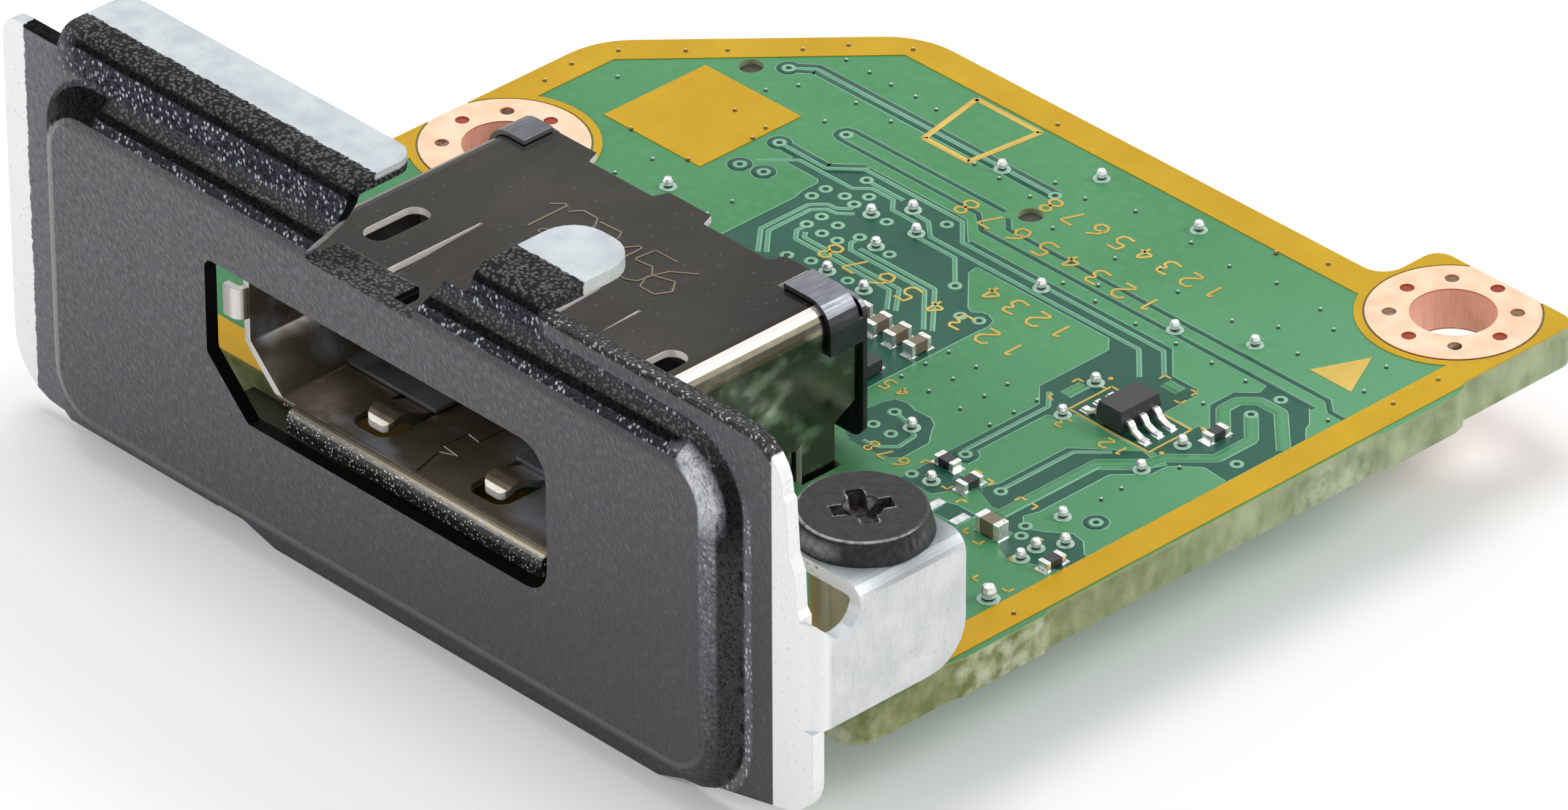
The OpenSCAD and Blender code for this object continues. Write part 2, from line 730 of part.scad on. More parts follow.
module receptacle_shell() {
    root_z = shell_z0 + chamfer + 0.2;
    skirt_y0 = foot_rear_y - foot_w / 2 - 2.2;
    lug_z = shell_mid + 0.7;
    color("#6b6459")
    difference() {
        union() {
            difference() {
                along_y(mouth_y, shell_rear) ring_section(0, shell_t);
                shell_cuts();
            }
            for (s = [-1, 1]) translate([shell_x + s * finger_off, 0, 0]) {
                spring_finger(finger_w, top_root, top_root, top_tip, shell_z1 - shell_t, -0.25, 90, 0.1);
                spring_finger(low_finger_w, low_root, low_bow, low_tip, shell_z0, 0.45, 165, 0.4);
            }
            for (f = feet) shell_foot(f, root_z);
            // Skirt beside the rear feet, with its slot
            for (s = [-1, 1]) translate([shell_x + s * (shell_w - shell_t) / 2, 0, 0]) difference() {
                along_x(-shell_t / 2, shell_t / 2) polygon([[skirt_y0, part_z + fit],
                    [foot_rear_y, part_z + fit], [foot_rear_y, root_z], [skirt_y0 - 0.6, root_z]]);
                along_x(-shell_t, shell_t) polygon(rounded([
                    [foot_rear_y - foot_w / 2 - 0.5, 0, 0], [foot_rear_y - foot_w / 2, 0, 0],
                    [foot_rear_y - foot_w / 2, shell_z0 + 0.9, 0.22],
                    [foot_rear_y - foot_w / 2 - 0.5, shell_z0 + 0.9, 0.22]]));
            }
            // Flared lips below and above the mouth, and a flared lug on each side
            translate([shell_x + chamfer / 2 - 0.3, mouth_y, shell_z0 + shell_t])
                flare(shell_w - chamfer - 2.2);
            translate([shell_x, mouth_y, shell_z1 - shell_t]) mirror([0, 0, 1]) flare(shell_w - 5);
            for (s = [-1, 1]) translate([shell_x + s * (shell_w / 2 - shell_t), mouth_y, lug_z])
                rotate([0, -s * 90, 0]) flare(1.25);
        }
    }
}

// Cover behind the insulator, with an arm each side that hooks over the shell's top
arm_right = 6.5;
arm_left = -6.95;

module rear_cover() {
    cover_t = 0.2;
    gap = 0.03;
    y0 = shell_rear + gap;
    arm_y0 = shell_rear - 1.55;
    arm_y1 = shell_rear - 0.15;
    arm_drop = 1.8;
    arm_low = shell_z1 - arm_drop;
    inner = shell_t + gap;
    outer = inner + cover_t;
    w = shell_w / 2 + gap + cover_t;
    low = shell_z0 - 0.3;
    top = shell_z1 - 0.15;
    saddle = shell_z1 - 1.4;
    color("#9aa0ab") {
        along_y(y0, y0 + cover_t) polygon(rounded([
            [shell_x - w, low, 0.6],
            [shell_x + w, low, 0.6],
            [shell_x + w, top, 0.6],
            [shell_x + arm_right, top, 0.2],
            [shell_x + arm_right - 0.4, saddle, 0.3],
            [shell_x + arm_left + 0.4, saddle, 0.3],
            [shell_x + arm_left, top, 0.2],
            [shell_x - w, top, 0.6]]));
        intersection() {
            along_y(arm_y0, y0 + cover_t) ring_section(inner, outer);
            union() {
                for (s = [-1, 1]) translate([shell_x + s * (w - 1), 0, arm_low])
                    translate([-1, arm_y0, 0]) cube([2, 2 * thru + y0 - arm_y0, 1]);
                block([shell_x - w - 1, arm_y0, arm_low], [shell_x + arm_left, arm_y1, shell_z1 + 1]);
                block([shell_x + arm_right, arm_y0, arm_low], [shell_x + w + 1, arm_y1, shell_z1 + 1]);
            }
        }
    }
}

tongue_y0 = mouth_y + tongue_back;
tongue_z0 = shell_mid - tongue_t / 2 + 0.05;
tongue_z1 = tongue_z0 + tongue_t;
body_y0 = shell_rear - 5.4;
body_y1 = shell_rear - 0.75;
contact_y0 = tongue_y0 + 0.35;
leg_y = body_y1 + fit;
contact_end = shell_rear + 1.15;
contact_foot_z = part_z;

// Middles of the contacts of one row
function row_x(shift) = [for (k = [0:row_contacts - 1])
    shell_x + (k - (row_contacts - 1) / 2) * contact_pitch + shift * contact_pitch / 4];

// Blade in the tongue, leg down the back and foot on the board
module contact(x, z) {
    color("#c9a13a") along_x(x - contact_w / 2, x + contact_w / 2) polygon(rounded([
        [contact_y0, z, 0],
        [leg_y, z, 0.02],
        [leg_y, contact_foot_z, 0],
        [contact_end, contact_foot_z, 0],
        [contact_end, contact_foot_z + contact_t, 0],
        [leg_y + contact_t, contact_foot_z + contact_t, 0.02],
        [leg_y + contact_t, z + contact_t, 0.1],
        [contact_y0, z + contact_t, 0.1]], 3));
}

upper_z = tongue_z1 - contact_t + fit;
lower_z = tongue_z0 - fit;

module upper_contacts() {
    for (x = row_x(-1)) contact(x, upper_z);
}

module lower_contacts() {
    for (x = row_x(1)) contact(x, lower_z);
}

module receptacle_insulator() {
    floor_y0 = mouth_y + 3.15;
    floor_pad_t = 0.15;
    slack = 0.02;
    foot_z = part_z;
    color("#26262a")
    difference() {
        union() {
            along_y(body_y0, body_y1) polygon(bore_outline(fit));
            // Tongue with a rounded nose
            along_x(shell_x - tongue_w / 2, shell_x + tongue_w / 2) polygon(rounded([
                [tongue_y0, tongue_z0, 0.35], [body_y0 + 0.1, tongue_z0, 0],
                [body_y0 + 0.1, tongue_z1, 0], [tongue_y0, tongue_z1, 0.35]]));
            // Thin pads on the shell's floor either side of the seam
            intersection() {
                along_y(floor_y0, body_y0 + 0.1) polygon(bore_outline(fit));
                for (s = [-1, 1]) translate([shell_x + s * 5.15 - 3.05, floor_y0, 0])
                    cube([6.1, body_y0 - floor_y0 + 0.1, shell_z0 + shell_t + fit + floor_pad_t]);
            }
            // Foot on the board, behind the shell's floor
            block([shell_x - shell_w / 2 + chamfer + 0.35, floor_end + fit, foot_z],
                [shell_x + shell_w / 2 - shell_r - 0.05, body_y1, shell_z0 + 1]);
        }
        for (x = row_x(-1)) block([x - contact_w / 2 - slack, contact_y0 - slack, upper_z - slack],
            [x + contact_w / 2 + slack, body_y1 + thru, upper_z + contact_t + slack]);
        for (x = row_x(1)) block([x - contact_w / 2 - slack, contact_y0 - slack, lower_z - slack],
            [x + contact_w / 2 + slack, body_y1 + thru, lower_z + contact_t + slack]);
    }
}

// Solder cones round the feet under the board
module shell_foot_solder() {
    cone_h = 0.55;
    color("silver")
    for (f = feet) at_foot(f) difference() {
        hull() {
            translate([0, 0, -0.06]) linear_extrude(0.05)
                polygon(plain_box([-0.75, -foot_w / 2 - 0.5], [0.75, foot_w / 2 + 0.5], 0.5));
            translate([0, 0, -cone_h]) linear_extrude(0.05)
                polygon(plain_box([-0.3, -foot_w / 2 - 0.1], [0.3, foot_w / 2 + 0.1], 0.15));
        }
        block([-shell_t / 2 - 0.01, -foot_w / 2 - 0.01, -2], [shell_t / 2 + 0.01, foot_w / 2 + 0.01, 1]);
    }
}

// Small parts on the board

// Places of the small capacitors, the large capacitor and the resistors: [x, y, turn]
cap_row_y = -15.7;
caps = [for (k = [0:3]) [-14.5 + k * cap_pitch, cap_row_y, 90]];
bulk_cap = [-1.05, -22.2, 0];
bare_lands = [[-3.78, -22.3], [-2.5, -22.35]];
resistors = [[-5.3, -20.2, 0], [-3.8, -20.6, 90], [1.85, -22.1, 90], [-0.05, -12.1, 90]];
chip_at = [-3, -13.5];
filter_at = [-12.35, -18.15];
bulk_scale = 1.15;

module placed(p) {
    translate([p[0], p[1], part_z]) rotate(p[2]) children();
}

// Middle of a two-ended part, and the cap over each of its ends
module part_body(l, w, h) {
    end = l * 0.22;
    translate([-l / 2 + end, -w / 2 + 0.02, 0.03]) cube([l - 2 * end, w - 0.04, h - 0.05]);
}

module part_ends(l, w, h) {
    end = l * 0.22;
    for (s = [-1, 1]) translate([s * (l - end) / 2, 0, 0]) linear_extrude(h)
        polygon(plain_box([-end / 2, -w / 2], [end / 2, w / 2], 0.04, 2));
}

module capacitor_bodies() {
    color("#8a7c68") {
        for (p = caps) placed(p) part_body(cap_l, cap_w, cap_h);
        placed(bulk_cap) part_body(cap_l * bulk_scale, cap_w * bulk_scale, cap_h * 1.3);
    }
}

module capacitor_terminals() {
    color("gainsboro") {
        for (p = caps) placed(p) part_ends(cap_l, cap_w, cap_h);
        placed(bulk_cap) part_ends(cap_l * bulk_scale, cap_w * bulk_scale, cap_h * 1.3);
    }
}

res_h = 0.32;
res_l = 0.95;
res_w = 0.48;

module resistor_bodies() {
    color("#202022") for (p = resistors) placed(p) part_body(res_l, res_w, res_h);
}

module resistor_terminals() {
    color("gainsboro") for (p = resistors) placed(p) part_ends(res_l, res_w, res_h);
}

chip_h = 0.95;
chip_gap = 0.08;
lead_out = 0.95;

module logic_chip_body() {
    seam_z = 0.42;
    draft = 0.06;
    color("#2a2a2d")
    translate([chip_at.x, chip_at.y, part_z + chip_gap]) hull() {
        for (z = [0, chip_h - chip_gap - 0.02]) translate([-chip_w / 2 + draft, -chip_l / 2 + draft, z])
            cube([chip_w - 2 * draft, chip_l - 2 * draft, 0.02]);
        translate([-chip_w / 2, -chip_l / 2, seam_z]) cube([chip_w, chip_l, 0.04]);
    }
}

// Gull-wing leads, three each side
module logic_chip_leads() {
    lead_w = 0.26;
    lead_t = 0.12;
    z_exit = chip_gap + 0.36;
    color("whitesmoke")
    for (s = [-1, 1], k = [-1:1]) translate([chip_at.x, chip_at.y + k * lead_pitch, part_z])
        mirror([s < 0 ? 1 : 0, 0, 0]) translate([chip_w / 2 + 0.01, lead_w / 2, 0])
        rotate([90, 0, 0]) linear_extrude(lead_w) polygon(ribbon([[0, z_exit + lead_t / 2],
            [0.1, z_exit + lead_t / 2], [0.2, z_exit - 0.05], [0.3, lead_t + 0.1], [0.55, lead_t / 2 + 0.05],
            [0.7, lead_t / 2], [lead_out, lead_t / 2]], lead_t));
}

filter_pitch = 0.5;

module filter_chip_body() {
    color("#2a2a2d") translate([filter_at.x, filter_at.y, part_z + 0.03]) linear_extrude(0.5)
        polygon(plain_box([-1, -0.6], [1, 0.6], 0.03));
}

// Pads of the flat chip, in its underside edges
module filter_chip_pads() {
    pad_w = 0.24;
    pad_l = 0.1;
    color("whitesmoke") for (s = [-1, 1], k = [-1.5:1.5])
        translate([filter_at.x + k * filter_pitch - pad_w / 2, filter_at.y + s * 0.66 - pad_l / 2, part_z])
        cube([pad_w, pad_l, 0.18]);
}

// Tinned lands under the small parts, the contacts and the chip's leads
module solder_lands() {
    rows = concat(row_x(-1), row_x(1));
    color("lightgray") translate([0, 0, board_top]) linear_extrude(skin_t) {
        for (p = concat(caps, [bulk_cap], resistors)) translate([p[0], p[1]]) rotate(p[2])
            for (s = [-1, 1]) translate([s * 0.42, 0]) square([0.4, 0.56], center = true);
        translate(chip_at) for (s = [-1, 1], k = [-1:1])
            translate([s * (chip_w / 2 + lead_out - 0.15), k * lead_pitch])
                square([0.5, 0.34], center = true);
        translate(filter_at) for (s = [-1, 1], k = [-1.5:1.5])
            translate([k * filter_pitch, s * 0.72]) square([0.28, 0.3], center = true);
        for (x = rows) translate([x, (leg_y + contact_end) / 2])
            square([0.34, contact_end - leg_y + 0.3], center = true);
        for (p = bare_lands) translate(p) square([0.38, 0.75], center = true);
    }
}

// Places of the solder balls on the test pads, and of the one large ball
domes = [[-15.35, -2.55], [-10.35, -2.55], [-18.35, -4.7], [-3.4, -6.7], [-6.1, -8.05], [-18.55, -9.05],
    [-11.45, -9.5], [-17.3, -10.1], [-19.4, -10.35], [-17.65, -11.8], [-17.65, -14.25], [-15.8, -14.2],
    [-25.95, -14.35], [-5.55, -12.6], [-0.5, -13.3], [-4.85, -14.95], [-0.35, -15.5],
    [-0.1, -19.65], [-7.95, -19.4], [-4.95, -21.35], [1.2, -20.8], [0.7, -21.75], [0.8, -22.6]];
large_dome = [1.85, -25.2];

// Round land with a ball of solder on a short neck
module solder_ball(p, r) {
    land_r = r + 0.12;
    middle = skin_t + r * 1.05;
    ball = [for (a = [-37, 6, 48]) [r * cos(a), middle + r * sin(a)]];
    translate([p.x, p.y, board_top]) rotate_extrude($fn = 13) polygon(concat(
        [[0, 0], [land_r, 0], [land_r, skin_t], [r * cos(37), skin_t]], ball, [[0, middle + r]]));
}

module test_point_solder() {
    color("white") {
        for (p = domes) solder_ball(p, dome_r);
        solder_ball(large_dome, dome_r * 1.45);
    }
}

// Underside plug

plug_wall = 0.7;
plug_floor = 1;
plug_top = -0.22;
plug_end = 1.35;
blade_t = 0.15;
blade_w = 0.26;

module plug_frame() {
    translate([plug_x, plug_y, 0]) children();
}

module board_plug_housing() {
    rib_w = 1.3;
    slack = 0.02;
    color("#3a3835")
    plug_frame() difference() {
        union() {
            translate([0, 0, -plug_h]) linear_extrude(plug_h + plug_top)
                polygon(plain_box([-plug_len / 2, -plug_w / 2], [plug_len / 2, plug_w / 2], 0.4));
            for (s = [-1, 1]) {
                translate([s * (plug_len / 2 - plug_end / 2), 0, -plug_h / 2])
                    linear_extrude(plug_h / 2 - 0.02) square([plug_end, plug_w - 0.8], center = true);
                translate([s * peg_pitch / 2, 0, -0.3]) cylinder(r = peg_r, h = board_t + 0.1);
            }
        }
        difference() {
            translate([0, 0, -plug_h - thru]) linear_extrude(plug_h + thru + plug_top - plug_floor)
                polygon(plain_box([-plug_len / 2 + plug_end, -plug_w / 2 + plug_wall],
                    [plug_len / 2 - plug_end, plug_w / 2 - plug_wall], 0.2));
            translate([0, 0, -plug_h + 0.5]) linear_extrude(plug_h)
                polygon(plain_box([-plug_len / 2 + plug_end + 0.8, -rib_w / 2],
                    [plug_len / 2 - plug_end - 0.8, rib_w / 2], 0.2));
        }
        for (s = [0, 1], x = plug_row()) mirror([0, s, 0])
            translate([x - blade_w / 2 - slack, blade_y() - slack, plug_top - plug_floor - thru])
            cube([blade_w + 2 * slack, blade_t + 2 * slack, plug_floor + 2 * thru]);
    }
}

function plug_row() = [for (k = [0:plug_contacts - 1]) (k - (plug_contacts - 1) / 2) * plug_pitch];
function blade_y() = plug_w / 2 - plug_wall - blade_t - 0.03;

module board_plug_contacts() {
    reach = plug_w / 2 + 0.7;
    y0 = blade_y();
    z1 = -skin_t;
    color("#c9a13a") plug_frame() for (s = [0, 1], x = plug_row()) mirror([0, s, 0])
        along_x(x - blade_w / 2, x + blade_w / 2) polygon([
            [y0, -plug_h + 0.6],
            [y0 + blade_t, -plug_h + 0.45],
            [y0 + blade_t, z1 - blade_t],
            [reach, z1 - blade_t],
            [reach, z1],
            [y0, z1]]);
}

// Anchors soldered to the board at both ends of the plug
module board_plug_anchors() {
    half_w = 0.9;
    drop = 1.9;
    reach = 1.1;
    anchor_t = 0.18;
    x0 = plug_len / 2 + 0.02;
    color("silver") plug_frame() for (s = [0, 1]) mirror([s, 0, 0]) {
        block([x0, -half_w, -drop], [x0 + anchor_t, half_w, -skin_t]);
        block([x0, -half_w, -skin_t - anchor_t], [plug_len / 2 + reach, half_w, -skin_t]);
    }
}

bracket();
bracket_screw();
standoff();
circuit_board();
mounting_hole_plating();
ground_plating();
solder_lands();
test_point_solder();
receptacle_shell();
rear_cover();
receptacle_insulator();
upper_contacts();
lower_contacts();
shell_foot_solder();
capacitor_bodies();
capacitor_terminals();
resistor_bodies();
resistor_terminals();
logic_chip_body();
logic_chip_leads();
filter_chip_body();
filter_chip_pads();
board_plug_housing();
board_plug_contacts();
board_plug_anchors();
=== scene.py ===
"""Finishes, board artwork, lights and camera for a video port module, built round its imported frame."""

import math

import bpy
from mathutils import Matrix, Vector


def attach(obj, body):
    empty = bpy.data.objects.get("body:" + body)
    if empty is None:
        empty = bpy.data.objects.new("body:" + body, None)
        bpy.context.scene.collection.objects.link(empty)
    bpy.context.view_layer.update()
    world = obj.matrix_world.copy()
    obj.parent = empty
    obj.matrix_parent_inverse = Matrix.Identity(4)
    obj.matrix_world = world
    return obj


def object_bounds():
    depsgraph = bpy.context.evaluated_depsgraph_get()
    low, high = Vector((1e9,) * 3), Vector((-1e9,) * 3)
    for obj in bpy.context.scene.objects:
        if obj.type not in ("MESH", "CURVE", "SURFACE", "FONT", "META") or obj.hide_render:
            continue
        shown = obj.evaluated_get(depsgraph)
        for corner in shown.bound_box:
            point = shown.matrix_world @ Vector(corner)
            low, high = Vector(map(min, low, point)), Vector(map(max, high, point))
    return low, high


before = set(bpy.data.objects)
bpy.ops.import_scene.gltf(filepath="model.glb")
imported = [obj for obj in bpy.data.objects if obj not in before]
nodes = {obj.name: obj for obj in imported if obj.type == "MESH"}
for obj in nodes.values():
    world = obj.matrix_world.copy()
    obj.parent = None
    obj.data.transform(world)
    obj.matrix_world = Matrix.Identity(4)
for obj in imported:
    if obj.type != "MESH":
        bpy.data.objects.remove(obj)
cad_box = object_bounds()

MM = 0.001


def rgb(r, g, b):
    """Linear colour of a display colour given from 0 to 255."""
    def linear(v):
        v /= 255
        return v / 12.92 if v <= 0.04045 else ((v + 0.055) / 1.055) ** 2.4
    return (linear(r), linear(g), linear(b), 1.0)


# Camera, world and lamps

CAMERA_PLACE = Vector((0.2611567, -0.2811179, 0.2395975))
CAMERA_RIGHT = Vector((0.6900365, 0.7237667, -0.0033585))
CAMERA_UP = Vector((-0.3844477, 0.3704547, 0.8455550))
CAMERA_BACK = Vector((0.6132288, -0.5821727, 0.5338777))
CAMERA_LENS = 288.02
CAMERA_SENSOR = 36.0


def add_camera():
    data = bpy.data.cameras.new("camera")
    data.lens = CAMERA_LENS
    data.sensor_width = CAMERA_SENSOR
    data.sensor_fit = "HORIZONTAL"
    data.clip_start = 0.02
    camera = bpy.data.objects.new("camera", data)
    turn = Matrix((CAMERA_RIGHT, CAMERA_UP, CAMERA_BACK)).transposed().to_4x4()
    camera.matrix_world = Matrix.Translation(CAMERA_PLACE) @ turn
    bpy.context.scene.collection.objects.link(camera)
    bpy.context.scene.camera = camera


def add_world(ambient):
    """Even pale light, and plain white wherever the camera, a gloss or a clear part sees the world."""
    world = bpy.data.worlds.new("studio")
    world.use_nodes = True
    tree = world.node_tree
    background = tree.nodes["Background"]
    background.inputs["Color"].default_value = (1, 1, 1, 1)
    path = tree.nodes.new("ShaderNodeLightPath")
    seen = path.outputs["Is Camera Ray"]
    for kind in ("Is Glossy Ray", "Is Transmission Ray"):
        either = tree.nodes.new("ShaderNodeMath")
        either.operation = "MAXIMUM"
        tree.links.new(seen, either.inputs[0])
        tree.links.new(path.outputs[kind], either.inputs[1])
        seen = either.outputs[0]
    strength = tree.nodes.new("ShaderNodeMapRange")
    strength.inputs["To Min"].default_value = ambient
    strength.inputs["To Max"].default_value = 1.0
    tree.links.new(seen, strength.inputs["Value"])
    tree.links.new(strength.outputs["Result"], background.inputs["Strength"])
    bpy.context.scene.world = world


def add_lamp(name, toward, distance, size, share):
    """Square lamp in one direction from the part. Its share is what it adds to a white face turned to it."""
    data = bpy.data.lights.new(name, "AREA")
    data.size = size
    data.energy = share * (math.pi * distance) ** 2
    lamp = bpy.data.objects.new(name, data)
    toward = Vector(toward).normalized()
    lamp.location = MIDDLE + toward * distance
    lamp.rotation_euler = toward.to_track_quat("Z", "Y").to_euler()
    bpy.context.scene.collection.objects.link(lamp)


MIDDLE = Vector((-0.016, -0.018, 0.004))

add_camera()
add_world(ambient=0.45)
add_lamp("back_lamp", (0.53, 0.58, 0.61), 0.6, 0.2, 0.36)
add_lamp("front_lamp", (-0.61, -0.63, 0.46), 0.6, 0.16, 0.22)
add_lamp("top_lamp", (-0.25, 0.1, 1.0), 0.6, 0.3, 0.3)

scene = bpy.context.scene
scene.view_settings.view_transform = "Standard"


# Finishes

class Finish:
    """A material in the making: its node tree, with a short call for each node that the finishes share."""

    def __init__(self, name, metallic=0.0, roughness=0.5):
        self.material = bpy.data.materials.new(name)
        self.material.use_nodes = True
        self.tree = self.material.node_tree
        self.shader = self.tree.nodes["Principled BSDF"]
        self.put("Metallic", metallic)
        self.put("Roughness", roughness)
        place = self.node("ShaderNodeTexCoord").outputs["Object"]
        self.place = self.vector("SCALE", place, scale=1 / MM)
        self.facing = self.node("ShaderNodeNewGeometry").outputs["True Normal"]

    def node(self, kind, **settings):
        made = self.tree.nodes.new(kind)
        for key, value in settings.items():
            setattr(made, key, value)
        return made

    def feed(self, socket, value):
        if isinstance(value, bpy.types.NodeSocket):
            self.tree.links.new(value, socket)
        else:
            socket.default_value = value

    def put(self, name, value):
        self.feed(self.shader.inputs[name], value)

    def vector(self, operation, a, b=None, scale=None):
        made = self.node("ShaderNodeVectorMath", operation=operation)
        self.feed(made.inputs[0], a)
        if b is not None:
            self.feed(made.inputs[1], b)
        if scale is not None:
            self.feed(made.inputs["Scale"], scale)
        return made.outputs["Value" if operation in ("LENGTH", "DOT_PRODUCT") else "Vector"]

    def axis(self, letter, of=None):
        split = self.node("ShaderNodeSeparateXYZ")
        self.feed(split.inputs[0], self.place if of is None else of)
        return split.outputs[letter]

    def calc(self, operation, a, b=0.0):
        made = self.node("ShaderNodeMath", operation=operation)
        self.feed(made.inputs[0], a)
        self.feed(made.inputs[1], b)
        return made.outputs[0]

    def ramp(self, value, low, high, start=0.0, end=1.0):
        made = self.node("ShaderNodeMapRange")
        for name, number in (("Value", value), ("From Min", low), ("From Max", high),
                             ("To Min", start), ("To Max", end)):
            self.feed(made.inputs[name], number)
        return made.outputs["Result"]

    def band(self, value, *edges):
        """One between the inner two of four edges, fading to nothing at the outer two."""
        return self.all_of(self.ramp(value, edges[0], edges[1]), self.ramp(value, edges[3], edges[2]))

    def any_of(self, *masks):
        total = masks[0]
        for mask in masks[1:]:
            total = self.calc("MAXIMUM", total, mask)
        return total

    def all_of(self, *masks):
        total = masks[0]
        for mask in masks[1:]:
            total = self.calc("MULTIPLY", total, mask)
        return total

    def less(self, mask):
        return self.calc("SUBTRACT", 1.0, mask)

    def mix(self, factor, a, b):
        made = self.node("ShaderNodeMix", data_type="RGBA")
        self.feed(made.inputs[0], factor)
        self.feed(made.inputs[6], a)
        self.feed(made.inputs[7], b)
        return made.outputs[2]

    def stretched(self, stretch, turn):
        """The place in mm, turned about the Y axis and then shrunk along each axis by its stretch."""
        place = self.place
        if turn:
            made = self.node("ShaderNodeVectorRotate", rotation_type="Y_AXIS")
            made.inputs["Angle"].default_value = turn
            self.feed(made.inputs["Vector"], place)
            place = made.outputs["Vector"]
        return self.vector("DIVIDE", place, stretch)

    def noise(self, size, detail=2.0, stretch=(1, 1, 1), turn=0.0):
        """Soft noise whose spots are about size mm across, longer along an axis by its stretch."""
        made = self.node("ShaderNodeTexNoise")
        self.feed(made.inputs["Vector"], self.stretched(stretch, turn))
        made.inputs["Scale"].default_value = 1 / size
        made.inputs["Detail"].default_value = detail
        return made.outputs["Fac"]

    def cloud(self, size, detail, *span):
        """Soft noise spread over a span, as a ramp takes it."""
        return self.ramp(self.noise(size, detail), *span)

    def cells(self, size, stretch=(1, 1, 1), turn=0.0):
        """Distance from the middle of round spots that lie about size mm apart."""
        made = self.node("ShaderNodeTexVoronoi")
        self.feed(made.inputs["Vector"], self.stretched(stretch, turn))
        made.inputs["Scale"].default_value = 1 / size
        return made.outputs["Distance"]

    def rounded(self, radius):
        """Softens the light on crisp edges as if they had this radius in mm."""
        bevel = self.node("ShaderNodeBevel", samples=4)
        bevel.inputs["Radius"].default_value = radius * MM
        self.normal = bevel.outputs["Normal"]
        self.put("Normal", self.normal)

    def bump(self, height, depth, strength=1.0):
        """Relief of this depth in mm, over what relief the finish has so far."""
        made = self.node("ShaderNodeBump")
        made.inputs["Distance"].default_value = depth * MM
        self.feed(made.inputs["Strength"], strength)
        self.feed(made.inputs["Height"], height)
        if getattr(self, "normal", None) is not None:
            self.feed(made.inputs["Normal"], self.normal)
        self.normal = made.outputs["Normal"]
        self.put("Normal", self.normal)


def wear(*names):
    """Gives each named node the finish that the decorated function makes."""
    def apply(make):
        material = make()
        for name in names:
            nodes[name].data.materials.clear()
            nodes[name].data.materials.append(material)
        return make
    return apply


# Where the bracket's paint ends: the bare ends of the plate, and the bare rear of the flange and the tab
BARE_LEFT = -36.78
BARE_RIGHT = 1.87
BARE_FLANGE_Y = -34.15
BARE_TAB_Y = -33.4
FLANGE_LEFT = -34.9
FLANGE_RIGHT = -17.5
FLANGE_Z = 13.3
PLATE_CORNER = (0.55, 10.75)
TAB_Z = 12.9
PLATE_FRONT_Y = -35.56
PLATE_TOP = 12.6
RIM_EDGE = 0.1

# Pressed face: its middle and half size in X and Z, and the radius of its corners
FACE_MIDDLE = (-17.625, 4.275)
FACE_HALF = (16.775, 6.125)
FACE_CORNER = 1.6


def beyond_face(f, x, z):
    """How far a point of the plate lies outside the pressed face's outline, in mm; below 0 inside it."""
    reach = []
    for position, middle, half in zip((x, z), FACE_MIDDLE, FACE_HALF):
        reach.append(f.calc("SUBTRACT", f.calc("ABSOLUTE", f.calc("SUBTRACT", position, middle)),
                            half - FACE_CORNER))
    squares = [f.calc("POWER", f.calc("MAXIMUM", r, 0.0), 2.0) for r in reach]
    outside = f.calc("SQRT", f.calc("ADD", *squares))
    inside = f.calc("MINIMUM", f.calc("MAXIMUM", *reach), 0.0)
    return f.calc("SUBTRACT", f.calc("ADD", outside, inside), FACE_CORNER)


SCREW_AXIS = (1.2, -30.66)
RECESS_ANGLE = math.radians(62)
RECESS_HALF = 0.31
RECESS_REACH = 1.1
HEAD_R = 2.29
HEAD_TOP = 7.57
HIGHLIGHT_SIDE = (0.0, -1.0, 0.0)


def round_axis(f, axis):
    """Position in mm measured level from an upright axis, and the distance from it."""
    local = f.vector("MULTIPLY", f.vector("SUBTRACT", f.place, (axis[0], axis[1], 0)), (1, 1, 0))
    return local, f.vector("LENGTH", local)


def zinc_color(f, nx, ny, nz):
    """Bare zinc: pale, softly mottled, with small dull specks; with painted light: white on faces turned to
    the front and on the plate's front, greyer on top, and a painted reflection and shade of the dark screw
    next to it.
    """
    crystal = f.cloud(1.1, 4, 0.35, 0.65)
    brushed = f.ramp(f.noise(0.1, 2, (1, 1, 7)), 0.35, 0.65)
    speck = f.cloud(0.16, 2, 0.62, 0.74)
    zinc = f.mix(crystal, rgb(212, 215, 216), rgb(230, 232, 233))
    zinc = f.mix(f.all_of(brushed, 0.3), zinc, rgb(242, 244, 244))
    # Painted light: faces turned to the front and the plate's front are whitened, and level faces greyer
    zinc = f.mix(f.ramp(ny, -0.5, -0.9), zinc, rgb(255, 255, 255))
    zinc = f.mix(f.ramp(f.axis("Y"), -34.7, -34.95), zinc, rgb(255, 255, 255))
    level = f.ramp(nz, 0.45, 0.85)
    zinc = f.mix(level, zinc, f.mix(crystal, rgb(196, 203, 208), rgb(214, 220, 224)))
    # Painted reflection and shade of the dark screw on the zinc beside it
    painted_screw_reflection = f.all_of(f.ramp(round_axis(f, SCREW_AXIS)[1], HEAD_R + 1.3, HEAD_R + 0.1),
                          f.ramp(f.axis("Z"), 5.4, 6.3), f.ramp(f.axis("Y"), -34.95, -34.7),
                          f.ramp(nz, 0.1, 0.4))
    zinc = f.mix(f.all_of(painted_screw_reflection, 0.85), zinc, rgb(104, 110, 114))
    return f.mix(f.all_of(speck, 0.35), zinc, rgb(168, 174, 178))


